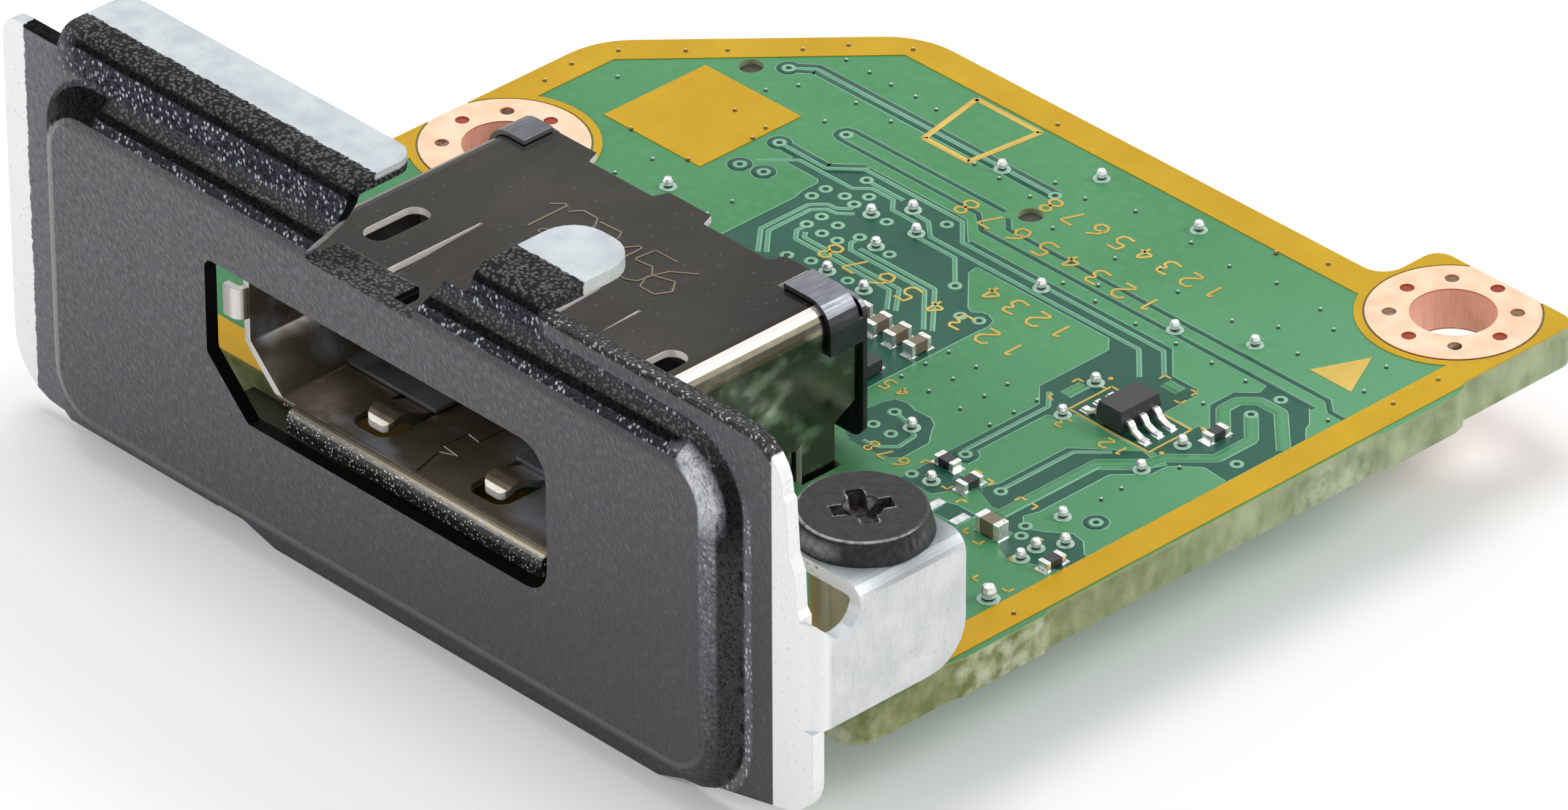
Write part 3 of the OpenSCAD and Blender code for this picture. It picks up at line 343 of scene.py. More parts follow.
@wear("bracket")
def painted_bracket():
    """Fine dark paint, wrinkled on the lids, over bare zinc; with painted light: glints that sparkle on the
    bends and crests, highlights along the crests, and shade in the valley, the corner, under the lid and on
    the face's walls.
    """
    f = Finish("bracket_finish")
    f.rounded(0.05)
    x, y, z = (f.axis(letter) for letter in "XYZ")
    nx, ny, nz = (f.axis(letter, f.facing) for letter in "XYZ")
    ragged = f.all_of(f.calc("SUBTRACT", f.noise(0.22, 3), 0.5), 0.26)
    xr = f.calc("ADD", x, ragged)
    yr = f.calc("ADD", y, ragged)
    at_tab = f.ramp(x, FLANGE_RIGHT, FLANGE_RIGHT + 0.1)
    bare = f.any_of(
        f.ramp(xr, BARE_LEFT + 0.03, BARE_LEFT - 0.03),
        f.ramp(x, BARE_RIGHT - 0.03, BARE_RIGHT + 0.03),
        f.ramp(f.calc("SUBTRACT", yr, f.ramp(at_tab, 0, 1, BARE_FLANGE_Y, BARE_TAB_Y)), -0.03, 0.03),
        f.ramp(ny, 0.4, 0.6),
        f.all_of(f.ramp(nz, -0.4, -0.6), f.ramp(z, 9.0, 9.2)))
    zinc = zinc_color(f, nx, ny, nz)

    # Where on the bracket: distance beyond the pressed face, and the way round the flange's bend
    beyond = beyond_face(f, x, z)
    turned = f.calc("ADD", f.calc("SUBTRACT", z, f.ramp(at_tab, 0, 1, FLANGE_Z, TAB_Z)),
                    f.calc("SUBTRACT", y, PLATE_FRONT_Y))
    front = f.ramp(y, -34.4, -34.6)
    on_slope = f.all_of(front, f.band(beyond, -0.05, 0.05, 1.4, 1.6))
    upward = f.ramp(nz, 0.05, 0.25)
    over_face = f.all_of(f.ramp(x, FLANGE_LEFT - 0.3, FLANGE_LEFT + 0.9), f.ramp(x, -9.2, -9.9))
    bend = f.all_of(over_face, f.ramp(z, 11.55, 11.8))
    on_lip = f.all_of(f.ramp(nz, 0.35, 0.6), f.band(z, 9.5, 9.7, 10.32, 10.38))
    lid = f.any_of(f.ramp(turned, -0.12, 0.14), on_lip)
    in_notch = f.all_of(f.ramp(f.calc("ABSOLUTE", ny), 0.35, 0.2), f.band(x, -21.4, -21.2, -13.0, -12.8),
                        f.ramp(z, 9.9, 10.0), f.ramp(nz, 0.9, 0.8))
    past = [f.calc("POWER", f.calc("MAXIMUM", f.calc("SUBTRACT", position, middle), 0.0), 2.0)
            for position, middle in zip((x, z), PLATE_CORNER)]
    top_rim = f.all_of(f.ramp(x, -9.9, -9.6), f.ramp(f.calc("SQRT", f.calc("ADD", *past)), 1.52, 1.62))

    left_rim = f.all_of(f.ramp(x, FLANGE_LEFT + RIM_EDGE, FLANGE_LEFT - RIM_EDGE),
                        f.ramp(z, PLATE_TOP - 0.18, PLATE_TOP - RIM_EDGE), front)
    under_end = f.all_of(f.ramp(nx, 0.5, 0.7), f.ramp(x, FLANGE_RIGHT + 0.2, FLANGE_RIGHT + 0.1),
                         f.ramp(z, FLANGE_Z - 0.22, FLANGE_Z - 0.32), f.ramp(z, 11.5, 11.6))

    # Grain: fine scratches on the flats, wrinkles on the lids, and spots for the painted glints on the bends
    fine = f.noise(0.09, 3, (1, 1, 3.2), math.radians(35))
    wrinkle = f.calc("ADD", f.cells(0.125, (1.6, 1.2, 1), math.radians(-25)),
                     f.all_of(f.noise(0.12, 2), 0.5))
    fold = f.ramp(wrinkle, 0.45, 0.85)
    spark = f.all_of(f.ramp(f.cells(0.17, (1, 1, 1.6)), 0.4, 0.2), f.cloud(0.3, 1, 0.36, 0.5))
    coarse = f.noise(0.16, 3)

    # Flats, a little lighter towards the upper left
    drift = f.ramp(f.calc("ADD", x, f.all_of(z, -2.5)), -46, -11)
    paint = f.mix(drift, rgb(96, 96, 100), rgb(68, 68, 72))
    rough = f.ramp(drift, 0, 1, 0.5, 0.16)
    paint = f.mix(f.ramp(x, -34.3, -35.4, 0, 0.8), paint, rgb(114, 114, 119))
    paint = f.mix(f.all_of(f.ramp(fine, 0.5, 0.68), rough), paint, rgb(142, 142, 146))
    paint = f.mix(f.all_of(f.ramp(fine, 0.5, 0.34), rough), paint, rgb(48, 48, 52))

    # Upper slope: painted glints at the crest, a black valley of painted shade, wrinkles up to the foot with
    # painted glints there, and a black corner of painted shade
    blackest = f.mix(f.ramp(coarse, 0.4, 0.65), rgb(8, 8, 9), rgb(30, 30, 32))
    bluish = f.mix(f.ramp(coarse, 0.4, 0.62), rgb(24, 24, 32), rgb(66, 67, 80))
    # Wrinkles: ridges painted light and creases painted dark, painted light and shade over the relief
    creased = f.mix(fold, rgb(114, 113, 114), rgb(40, 40, 42))
    crest_dark = f.mix(f.ramp(beyond, -0.3, 0.25), paint, rgb(34, 34, 40))
    slope = f.mix(f.all_of(f.ramp(beyond, 0.16, 0.26), spark), crest_dark, rgb(196, 200, 214))
    valley = f.band(beyond, 0.5, 0.56, 0.76, 0.86)
    slope = f.mix(f.ramp(beyond, 0.74, 0.84), slope, creased)
    slope = f.mix(f.ramp(beyond, 1.1, 1.22), slope, f.mix(spark, bluish, rgb(206, 210, 224)))
    corner = f.all_of(f.ramp(x, -31.7, -32.2), f.band(beyond, 0.1, 0.25, 1.1, 1.25))
    pit = f.all_of(f.any_of(valley, corner), on_slope, upward)
    sunk = f.all_of(f.ramp(beyond, -0.35, -0.3), f.ramp(z, 10.0, 10.1), f.ramp(beyond, 1.7, 1.5), front)
    paint = f.mix(f.all_of(sunk, f.any_of(upward, f.ramp(beyond, 0.05, 0.0))), paint, slope)

    # Border above the face and the flange's bend: blue-black with painted glints, and black before the lid
    # as painted shade; the valley and the corner black as painted shade, the notch and the flange's ends in
    # black paint
    under_lid = f.all_of(bend, f.ramp(turned, -0.55, -0.4))
    paint = f.mix(bend, paint, f.mix(spark, bluish, rgb(214, 218, 230)))
    # The rounded rim at the plate's upper right corner: dark, with painted glints
    rim_grain = f.mix(f.all_of(spark, 0.8), rgb(20, 20, 22), rgb(220, 220, 226))
    paint = f.mix(top_rim, paint, rim_grain)
    paint = f.mix(f.any_of(pit, under_lid, in_notch, left_rim, under_end), paint, blackest)
    paint = f.mix(lid, paint, creased)

    # Right border of the face: a pale crest that is a painted highlight, a black wall of painted shade,
    # painted glints along the foot; below, painted highlights along the left and lower crests, and black
    # paint on the window's cut walls
    right = f.all_of(f.ramp(nx, 0.04, 0.2), front)
    left = f.all_of(f.ramp(nx, -0.04, -0.2), front, f.ramp(nz, 0.3, 0.1))
    low = f.all_of(f.ramp(nz, -0.04, -0.2), front)
    crest = f.band(beyond, -0.1, 0.1, 0.56, 0.66)
    wall = f.band(beyond, 0.56, 0.66, 1.26, 1.36)
    foot = f.all_of(f.band(beyond, 1.3, 1.4, 1.6, 1.75), f.ramp(x, -2.0, -1.2))
    fade = f.ramp(z, -1.0, 9.0)
    crest_highlight = f.mix(fade, rgb(60, 60, 64), rgb(150, 151, 158))
    crest_highlight = f.mix(f.ramp(coarse, 0.4, 0.62, 0, 0.6), crest_highlight, rgb(58, 58, 62))
    crest_highlight = f.mix(f.all_of(spark, f.ramp(z, 1, 8, 0.1, 0.6)), crest_highlight, rgb(214, 216, 222))
    paint = f.mix(f.all_of(right, crest), paint, crest_highlight)
    # Painted shade: the face's walls turned right, and high on the left, are dark, blackest high up and in
    # patches
    flank = f.all_of(f.any_of(right, f.all_of(left, f.ramp(z, 8.2, 9.4))), wall,
                     f.less(f.ramp(nz, 0.35, 0.6)))
    patchy = f.any_of(f.ramp(z, 6.5, 8.5), f.all_of(f.ramp(beyond, 1.05, 1.2), f.cloud(0.5, 3, 0.48, 0.6)))
    paint = f.mix(flank, paint, f.mix(f.ramp(coarse, 0.3, 0.7), rgb(40, 40, 42), rgb(50, 50, 52)))
    paint = f.mix(f.all_of(flank, patchy), paint, blackest)
    # Painted highlight: a pale streaked blaze high on the right crest
    blaze = f.all_of(f.any_of(right, f.ramp(x, -1.9, -1.4)), f.ramp(x, -2.3, -1.7), on_slope,
                     f.band(beyond, -0.05, 0.1, 0.6, 0.85), f.ramp(z, 7.9, 9.2))
    streak = f.ramp(f.noise(0.14, 3, (1, 1, 3)), 0.3, 0.5, 0.3, 1.0)
    paint = f.mix(f.all_of(blaze, streak), paint, rgb(226, 229, 236))
    glint = f.all_of(f.ramp(f.cells(0.14, (1, 1, 1.8)), 0.42, 0.24), f.cloud(0.35, 1, 0.36, 0.5))
    strip = f.all_of(foot, f.ramp(z, 10.0, 8.5))
    paint = f.mix(f.all_of(strip, 0.35), paint, rgb(140, 141, 145))
    paint = f.mix(f.all_of(strip, glint), paint, rgb(206, 208, 212))
    # Painted highlights: thin pale lines along the left and lower crests
    paint = f.mix(f.all_of(left, f.band(beyond, 0.0, 0.06, 0.28, 0.36), 0.75), paint, rgb(170, 166, 162))
    paint = f.mix(f.all_of(low, f.band(beyond, 0.0, 0.06, 0.2, 0.3), 0.6), paint, rgb(128, 128, 132))
    cut = f.all_of(f.ramp(f.calc("ABSOLUTE", ny), 0.3, 0.1), f.ramp(beyond, -0.3, -0.5), front)
    paint = f.mix(cut, paint, rgb(15, 14, 14))

    # Finish: the blacks lose most of their gloss, or the white room would turn them grey
    bare = f.all_of(bare, f.less(under_end))
    f.put("Base Color", f.mix(bare, paint, zinc))
    f.put("Metallic", f.all_of(bare, 0.3))
    grainy = f.any_of(bend, f.all_of(on_slope, f.any_of(upward, right)), top_rim)
    f.put("Roughness", f.mix(bare, f.ramp(grainy, 0, 1, 0.5, 0.36), (0.42, 0.42, 0.42, 1)))
    soft_black = f.any_of(bend, lid, f.all_of(on_slope, upward), f.all_of(flank, patchy))
    dull = f.any_of(pit, under_lid, in_notch, cut, left_rim, under_end, f.all_of(soft_black, 0.75))
    f.put("Specular IOR Level", f.ramp(dull, 0, 1, 0.4, 0.02))
    painted = f.less(bare)
    f.bump(fine, 0.03, painted)
    f.bump(f.less(fold), 0.06, f.all_of(painted, f.any_of(lid, grainy)))
    f.bump(f.noise(0.12, 3), 0.005, bare)
    return f.material


@wear("bracket_screw")
def black_screw():
    """Satin black oxide, with painted highlights: a thin line at the front of the rim and along the cross,
    and a pale patch and faint streaks on the side.
    """
    f = Finish("screw_finish", 0.55)
    f.rounded(0.05)
    local, radius = round_axis(f, SCREW_AXIS)
    z = f.axis("Z")
    patch = f.noise(0.22, 3)
    toward = f.vector("DOT_PRODUCT", f.vector("NORMALIZE", local), HIGHLIGHT_SIDE)
    rim = f.all_of(f.ramp(radius, HEAD_R - 0.09, HEAD_R - 0.06), f.ramp(z, HEAD_TOP - 0.06, HEAD_TOP - 0.03),
                   f.ramp(toward, -0.3, 0.6, 0.1, 1.0))
    side = f.all_of(f.ramp(radius, HEAD_R - 0.05, HEAD_R), f.ramp(z, HEAD_TOP - 0.85, HEAD_TOP - 0.5),
                    f.ramp(z, HEAD_TOP - 0.1, HEAD_TOP - 0.35))
    along = f.vector("DOT_PRODUCT", local, (math.cos(RECESS_ANGLE), math.sin(RECESS_ANGLE), 0))
    across = f.vector("DOT_PRODUCT", local, (-math.sin(RECESS_ANGLE), math.cos(RECESS_ANGLE), 0))
    near = []
    for length, breadth in ((along, across), (across, along)):
        edge = f.calc("ABSOLUTE", f.calc("SUBTRACT", f.calc("ABSOLUTE", breadth), RECESS_HALF))
        reach = f.ramp(f.calc("ABSOLUTE", length), RECESS_REACH + 0.06, RECESS_REACH)
        near.append(f.all_of(f.ramp(edge, 0.09, 0.03), reach))
    top = f.ramp(z, HEAD_TOP - 0.04, HEAD_TOP - 0.01)
    recess = f.all_of(f.ramp(radius, 1.2, 1.1), f.ramp(z, HEAD_TOP - 0.03, HEAD_TOP - 0.1))
    # Painted highlights: a line at the front of the rim, lines along the cross, a pale patch on the side's
    # front and faint upright streaks at its flanks
    pale_marks = f.any_of(f.all_of(rim, f.ramp(patch, 0.36, 0.5, 0.25, 0.6)),
                    f.all_of(f.any_of(*near), top, f.ramp(patch, 0.45, 0.6, 0.1, 0.7)),
                    f.all_of(side, f.ramp(toward, 0.86, 0.99), f.ramp(patch, 0.3, 0.6, 0.3, 0.55)),
                    f.all_of(side, f.band(toward, 0.3, 0.0, -0.2, -0.5), f.ramp(
                        f.noise(0.3, 1, (1, 1, 20)), 0.4, 0.65, 0, 0.16)))
    body = f.mix(f.ramp(patch, 0.35, 0.65), rgb(32, 32, 34), rgb(50, 49, 52))
    body = f.mix(recess, body, f.mix(f.ramp(patch, 0.4, 0.6), rgb(74, 72, 70), rgb(120, 116, 112)))
    f.put("Base Color", f.mix(pale_marks, body, rgb(200, 198, 196)))
    f.put("Roughness", f.ramp(patch, 0.3, 0.7, 0.3, 0.44))
    f.bump(f.noise(0.1, 3), 0.006)
    return f.material


@wear("standoff")
def turned_brass():
    """Dull turned brass with upright streaks of light."""
    f = Finish("standoff_finish", 0.55, 0.3)
    f.rounded(0.05)
    tarnish = f.cloud(1.4, 3, 0.3, 0.7)
    streak = f.ramp(f.noise(0.45, 1, (1, 1, 30)), 0.42, 0.6)
    brass = f.mix(tarnish, rgb(170, 164, 132), rgb(206, 198, 158))
    f.put("Base Color", f.mix(f.all_of(streak, 0.5), brass, rgb(246, 240, 214)))
    f.bump(f.noise(0.06, 1, (40, 40, 1)), 0.004)
    return f.material


HOLES = ((0.0, 0.0), (-32.33, -16.6))
BORE_R = 1.6
PAD_R = 3.2
BOARD_TOP = 1.6
STUBS = ((-28.95, -24.05), (-12.0, -8.0))


@wear("circuit_board")
def laminate():
    """Light green mask over copper on both faces, pale glass at the cut sides, copper in the bores."""
    f = Finish("board_finish")
    y = f.axis("Y")
    nz = f.axis("Z", f.facing)
    face = f.mix(f.cloud(7.0, 2, 0.3, 0.7), rgb(68, 138, 86), rgb(80, 149, 99))
    face = f.mix(f.cloud(0.35, 2, 0.45, 0.7, 0, 0.15), face, rgb(112, 176, 126))
    face = f.mix(f.ramp(f.axis("X"), -14, 4, 0, 0.75), face, rgb(98, 164, 120))
    face = f.mix(f.ramp(y, -12, -26, 0, 0.55), face, rgb(58, 126, 80))

    # Cut sides: soft blotches, torn fibres at the stubs, a pale line along the upper edge
    blotch = f.ramp(f.noise(1.1, 3, (1, 1, 1.6)), 0.35, 0.68)
    fibre = f.noise(0.45, 4, (1.5, 1.5, 1.5))
    rear = f.mix(blotch, rgb(136, 150, 112), rgb(178, 190, 154))
    front = f.mix(blotch, rgb(106, 114, 64), rgb(142, 146, 96))
    side = f.mix(f.ramp(y, -12, -27), rear, front)
    side = f.mix(f.ramp(fibre, 0.45, 0.75, 0, 0.35), side, rgb(196, 202, 160))
    pale_marks = [(f.band(y, start, start + 0.5, end - 0.5, end), fibre) for start, end in STUBS]
    pale_marks.append((f.all_of(f.ramp(y, -31.6, -33.0), f.ramp(f.axis("Z"), 1.4, 0.8)), f.noise(0.9, 3)))
    for place, patches in pale_marks:
        side = f.mix(f.all_of(place, f.ramp(patches, 0.4, 0.75, 0, 0.75)), side, rgb(216, 222, 194))
    side = f.mix(f.ramp(f.axis("Z"), BOARD_TOP - 0.12, BOARD_TOP - 0.04, 0, 0.5), side, rgb(180, 176, 110))

    spots = [round_axis(f, hole)[1] for hole in HOLES]
    upright = f.less(f.ramp(f.calc("ABSOLUTE", nz), 0.4, 0.6))
    bore = f.all_of(f.any_of(*[f.ramp(spot, BORE_R + 0.06, BORE_R + 0.03) for spot in spots]), upright)
    under_pad = f.any_of(*[f.ramp(spot, PAD_R - 0.05, PAD_R - 0.15) for spot in spots])
    round_pad = f.any_of(*[f.ramp(spot, PAD_R + 0.2, PAD_R + 0.12) for spot in spots])
    face = f.mix(round_pad, face, rgb(116, 124, 84))
    face = f.mix(under_pad, face, rgb(160, 66, 46))
    brushed = f.mix(f.noise(0.12, 3, (1, 1, 12)), rgb(236, 172, 146), rgb(255, 216, 198))
    f.put("Base Color", f.mix(bore, f.mix(upright, face, side), brushed))
    f.put("Metallic", f.all_of(bore, 0.4))
    f.put("Roughness", f.ramp(upright, 0, 1, 0.34, 0.6))
    f.put("Specular IOR Level", 0.25)
    f.bump(f.noise(0.5, 2), 0.01, f.less(upright))
    f.bump(fibre, 0.04, upright)
    return f.material


@wear("mounting_hole_plating")
def pale_copper():
    f = Finish("copper_finish", 0.35)
    f.rounded(0.03)
    z = f.axis("Z")
    blush = f.cloud(0.9, 3, 0.35, 0.7)
    grain = f.noise(0.08, 2)
    pale = f.mix(blush, rgb(248, 206, 172), rgb(255, 226, 198))
    nz = f.axis("Z", f.facing)
    walls = f.less(f.ramp(nz, 0.3, 0.6))
    f.put("Base Color", f.mix(walls, pale, rgb(206, 124, 92)))
    f.put("Roughness", f.ramp(grain, 0.3, 0.7, 0.42, 0.56))
    f.bump(grain, 0.004)
    return f.material


@wear("ground_plating")
def gold_flash():
    f = Finish("gold_finish", 0.5, 0.45)
    stain = f.cloud(2.4, 3, 0.35, 0.7)
    grain = f.noise(0.11, 3)
    gold = f.mix(stain, rgb(198, 156, 18), rgb(206, 166, 26))
    gold = f.mix(f.ramp(grain, 0.55, 0.75, 0, 0.2), gold, rgb(228, 190, 60))
    f.put("Base Color", f.mix(f.ramp(f.axis("Y"), -8, -30, 0, 0.5), gold, rgb(196, 148, 20)))
    f.put("Specular IOR Level", 0.25)
    f.bump(grain, 0.005)
    return f.material


@wear("solder_lands", "shell_foot_solder")
def bright_solder():
    f = Finish("solder_finish", 0.9)
    flow = f.noise(0.28, 2)
    f.put("Base Color", f.mix(f.ramp(flow, 0.3, 0.7), rgb(196, 200, 204), rgb(240, 242, 242)))
    f.put("Roughness", f.cloud(0.1, 2, 0.3, 0.7, 0.16, 0.34))
    f.bump(flow, 0.012)
    return f.material


LAND_TOP = 1.635
NECK_TOP = 1.74


@wear("test_point_solder")
def solder_balls():
    """White balls over a neck painted dark as shade, each on a land that shows pale green."""
    f = Finish("ball_finish", roughness=0.24)
    f.rounded(0.06)
    z = f.axis("Z")
    land = f.ramp(z, LAND_TOP + 0.02, LAND_TOP + 0.005)
    # Painted shade: the neck under each ball is dark
    neck = f.ramp(z, NECK_TOP + 0.02, NECK_TOP - 0.02)
    flow = f.cloud(0.2, 2, 0.3, 0.7)
    color = f.mix(neck, f.mix(flow, rgb(214, 216, 218), rgb(252, 252, 252)), rgb(46, 62, 54))
    f.put("Base Color", f.mix(land, color, f.mix(flow, rgb(150, 196, 172), rgb(206, 232, 216))))
    f.put("Metallic", f.calc("SUBTRACT", 0.7, f.all_of(neck, 0.65)))
    f.bump(f.noise(0.15, 2), 0.006)
    return f.material


@wear("capacitor_terminals", "resistor_terminals", "logic_chip_leads", "filter_chip_pads",
      "board_plug_anchors")
def tinned():
    f = Finish("tin_finish", 0.7)
    f.rounded(0.03)
    dull = f.cloud(0.18, 3, 0.45, 0.7)
    f.put("Base Color", f.mix(dull, rgb(250, 250, 248), rgb(206, 202, 196)))
    f.put("Roughness", f.ramp(dull, 0, 1, 0.24, 0.45))
    f.bump(f.noise(0.08, 2), 0.005)
    return f.material


SHELL_LEFT = -25.45
SHELL_RIGHT = -8.15
SHELL_Z1 = 8.1
SHELL_T = 0.3
MOUTH_Y = -35.35
FLOOR_Z = 2.8


@wear("receptacle_shell")
def nickel_shell():
    """Polished nickel, with painted light: dark from above and lighter within, the green board mirrored on
    the right wall, bright at its cut edges and along the right bend, and grainy on the lower lip with
    painted glints.
    """
    f = Finish("shell_finish")
    f.rounded(0.06)
    x, y, z = (f.axis(letter) for letter in "XYZ")
    nx, ny, nz = (f.axis(letter, f.facing) for letter in "XYZ")
    drift = f.ramp(f.noise(4.5, 2, (1, 2, 1)), 0.3, 0.7)
    speck = f.ramp(f.cells(0.42), 0.12, 0.05)
    upper = f.all_of(f.ramp(nz, 0.6, 0.95), f.ramp(z, SHELL_Z1 - 1.3, SHELL_Z1 - 1.2))
    wall = f.all_of(f.ramp(nx, 0.7, 0.95), f.ramp(x, SHELL_RIGHT - 0.2, SHELL_RIGHT - 0.1))
    outer_bend = f.all_of(f.band(nx, 0.12, 0.3, 0.9, 0.97),
                          f.ramp(z, SHELL_Z1 - 1.0, SHELL_Z1 - 0.9),
                          f.ramp(x, SHELL_RIGHT - 1.0, SHELL_RIGHT - 0.9))
    bend = f.all_of(outer_bend, f.band(nx, 0.68, 0.6, 0.38, 0.3))
    inside = f.less(f.any_of(upper, wall, outer_bend))
    color = f.mix(drift, rgb(116, 107, 92), rgb(164, 153, 134))
    # Painted reflection: hazy bluish-white patches on the faces within
    hazy_reflection = f.all_of(f.ramp(f.noise(2.2, 2, (1.6, 1, 1)), 0.5, 0.7, 0, 0.75),
                      f.ramp(x, SHELL_LEFT + 0.05, SHELL_LEFT + 0.2))
    color = f.mix(hazy_reflection, color, rgb(214, 220, 234))
    # Painted reflection and shade: the top is made dark, the faces within stay lighter
    color = f.mix(upper, color, f.mix(drift, rgb(52, 50, 47), rgb(74, 71, 66)))
    # Painted reflection of the green board on the right wall, with pale blobs
    spot = f.ramp(f.noise(1.0, 2, (1, 1.4, 1)), 0.5, 0.8, 0, 0.6)
    side = f.mix(spot, f.mix(drift, rgb(70, 74, 60), rgb(100, 102, 88)), rgb(206, 204, 190))
    color = f.mix(wall, color, side)
    color = f.mix(f.all_of(speck, 0.35), color, rgb(150, 142, 128))
    # Painted highlight: a bright line along the right bend, with darker bands beside it
    color = f.mix(outer_bend, color, rgb(84, 80, 68))
    color = f.mix(bend, color, rgb(250, 245, 236))

    # Painted highlight on the cut edges: the front, the near walls of the slots and finger windows in the
    # top, and the lug at the mouth's left
    slot = f.all_of(f.ramp(f.calc("MAXIMUM", nx, f.all_of(ny, -1.0)), 0.5, 0.7),
                    f.ramp(z, SHELL_Z1 - SHELL_T - 0.05, SHELL_Z1 - SHELL_T), f.ramp(x, -8.9, -9.1))
    lug = f.all_of(f.ramp(x, SHELL_LEFT + 0.25, SHELL_LEFT + 0.15), f.ramp(y, MOUTH_Y + 0.6, MOUTH_Y + 0.4))
    cut = f.any_of(f.ramp(ny, -0.6, -0.8), slot, lug)
    color = f.mix(cut, color, rgb(255, 252, 246))

    # Lower lip in front of the mouth: dark grain with white specks as painted glints, and a smooth bright
    # line above them as a painted highlight
    out = f.all_of(f.ramp(y, MOUTH_Y + 0.2, MOUTH_Y + 0.1), f.ramp(nz, -0.3, 0.0))
    line = f.all_of(out, f.ramp(z, FLOOR_Z + 0.02, FLOOR_Z - 0.02))
    lip = f.all_of(out, f.ramp(z, FLOOR_Z - 0.1, FLOOR_Z - 0.16))
    grain = f.all_of(f.ramp(f.cells(0.14), 0.36, 0.2), f.cloud(0.5, 1, 0.4, 0.55, 0.3, 1))
    color = f.mix(line, color, f.mix(f.ramp(x, -21, -13), rgb(118, 110, 96), rgb(204, 192, 168)))
    color = f.mix(lip, color, f.mix(grain, rgb(34, 32, 30), rgb(236, 233, 226)))
    f.put("Base Color", color)
    f.put("Metallic", f.less(f.any_of(f.all_of(f.any_of(lip, line, bend), 0.5),
                                      f.all_of(inside, 0.3), f.all_of(cut, 0.85))))
    polish = f.cloud(0.6, 3, 0.3, 0.7, 0.14, 0.26)
    f.put("Roughness", f.calc("ADD", polish, f.all_of(inside, 0.08)))
    f.bump(f.noise(0.7, 2, (1, 3, 1)), 0.008, f.less(bend))
    f.bump(speck, 0.004, upper)
    f.bump(grain, 0.03, lip)
    return f.material


@wear("rear_cover")
def brushed_cover():
    """Brushed steel, with painted shade: darker down the sides than on top; towards the left the top is
    darker and the sides lighter.
    """
    f = Finish("cover_finish", 0.9, 0.36)
    f.rounded(0.05)
    brush = f.ramp(f.noise(0.12, 3, (1, 10, 10)), 0.3, 0.7)
    top = f.mix(brush, rgb(108, 110, 118), rgb(144, 146, 154))
    top = f.mix(f.ramp(f.axis("X"), -18, -20, 0, 0.5), top, rgb(84, 82, 90))
    side = f.mix(brush, rgb(58, 59, 62), rgb(80, 81, 84))
    side = f.mix(f.ramp(f.axis("X"), -18, -20), side, rgb(120, 119, 124))
    f.put("Base Color", f.mix(f.ramp(f.axis("Z", f.facing), 0.75, 0.4), top, side))
    f.bump(brush, 0.004)
    return f.material


def moulded(name, low, high):
    """Moulded plastic with a fine skin, in soft clouds between two shades."""
    f = Finish(name)
    f.rounded(0.04)
    skin = f.noise(0.1, 3)
    f.put("Base Color", f.mix(f.cloud(1.5, 2, 0.3, 0.7), low, high))
    f.put("Roughness", f.ramp(skin, 0.3, 0.7, 0.38, 0.52))
    f.bump(skin, 0.006)
    return f.material


@wear("receptacle_insulator")
def insulator_plastic():
    return moulded("insulator_finish", rgb(92, 92, 98), rgb(112, 112, 118))


@wear("board_plug_housing")
def plug_plastic():
    return moulded("plug_finish", rgb(54, 50, 46), rgb(70, 65, 60))


@wear("upper_contacts", "lower_contacts", "board_plug_contacts")
def gold_contacts():
    f = Finish("contact_finish", 1.0, 0.25)
    f.rounded(0.02)
    f.put("Base Color", f.mix(f.cloud(0.4, 2, 0.3, 0.7), rgb(212, 170, 74), rgb(238, 204, 116)))
    f.bump(f.noise(0.07, 2), 0.003)
    return f.material


@wear("capacitor_bodies")
def tan_ceramic():
    f = Finish("ceramic_finish")
    f.rounded(0.03)
    f.put("Base Color", f.mix(f.noise(0.12, 3), rgb(112, 98, 80), rgb(146, 130, 108)))
    f.bump(f.noise(0.06, 2), 0.005)
    return f.material


@wear("resistor_bodies", "logic_chip_body", "filter_chip_body")
def chip_plastic():
    f = Finish("chip_finish")
    f.rounded(0.03)
    f.put("Base Color", f.mix(f.noise(0.08, 3), rgb(34, 34, 37), rgb(66, 66, 70)))
    f.put("Roughness", f.cloud(0.05, 2, 0.3, 0.7, 0.4, 0.6))
    f.bump(f.noise(0.06, 2), 0.008)
    return f.material


# Board artwork

SUNK = 0.01
RIM = 0.045
LAYER = 0.0009
SHUFFLE = 0.00001
PLATING_T = 0.035
laid = []


def next_rise(name):
    """Height of a new piece above the face that it lies on, so that each one covers those laid before it."""
    laid.append(name)
    return 0.002 + LAYER * len(laid)


def new_tree(name, inputs):
    """Geometry Nodes group from a mesh to a mesh, with these named inputs, and the sockets' identifiers."""
    tree = bpy.data.node_groups.new(name, "GeometryNodeTree")
    tree.interface.new_socket("Geometry", in_out="INPUT", socket_type="NodeSocketGeometry")
    tree.interface.new_socket("Geometry", in_out="OUTPUT", socket_type="NodeSocketGeometry")
    sockets = {}
    for label, kind in inputs:
        sockets[label] = tree.interface.new_socket(label, in_out="INPUT", socket_type=kind).identifier
    return tree, tree.nodes.new("NodeGroupInput"), tree.nodes.new("NodeGroupOutput"), sockets


def chain(tree, *steps):
    """Links each step's first output to the first input of the next."""
    for before, after in zip(steps, steps[1:]):
        tree.links.new(before.outputs[0], after.inputs[0])


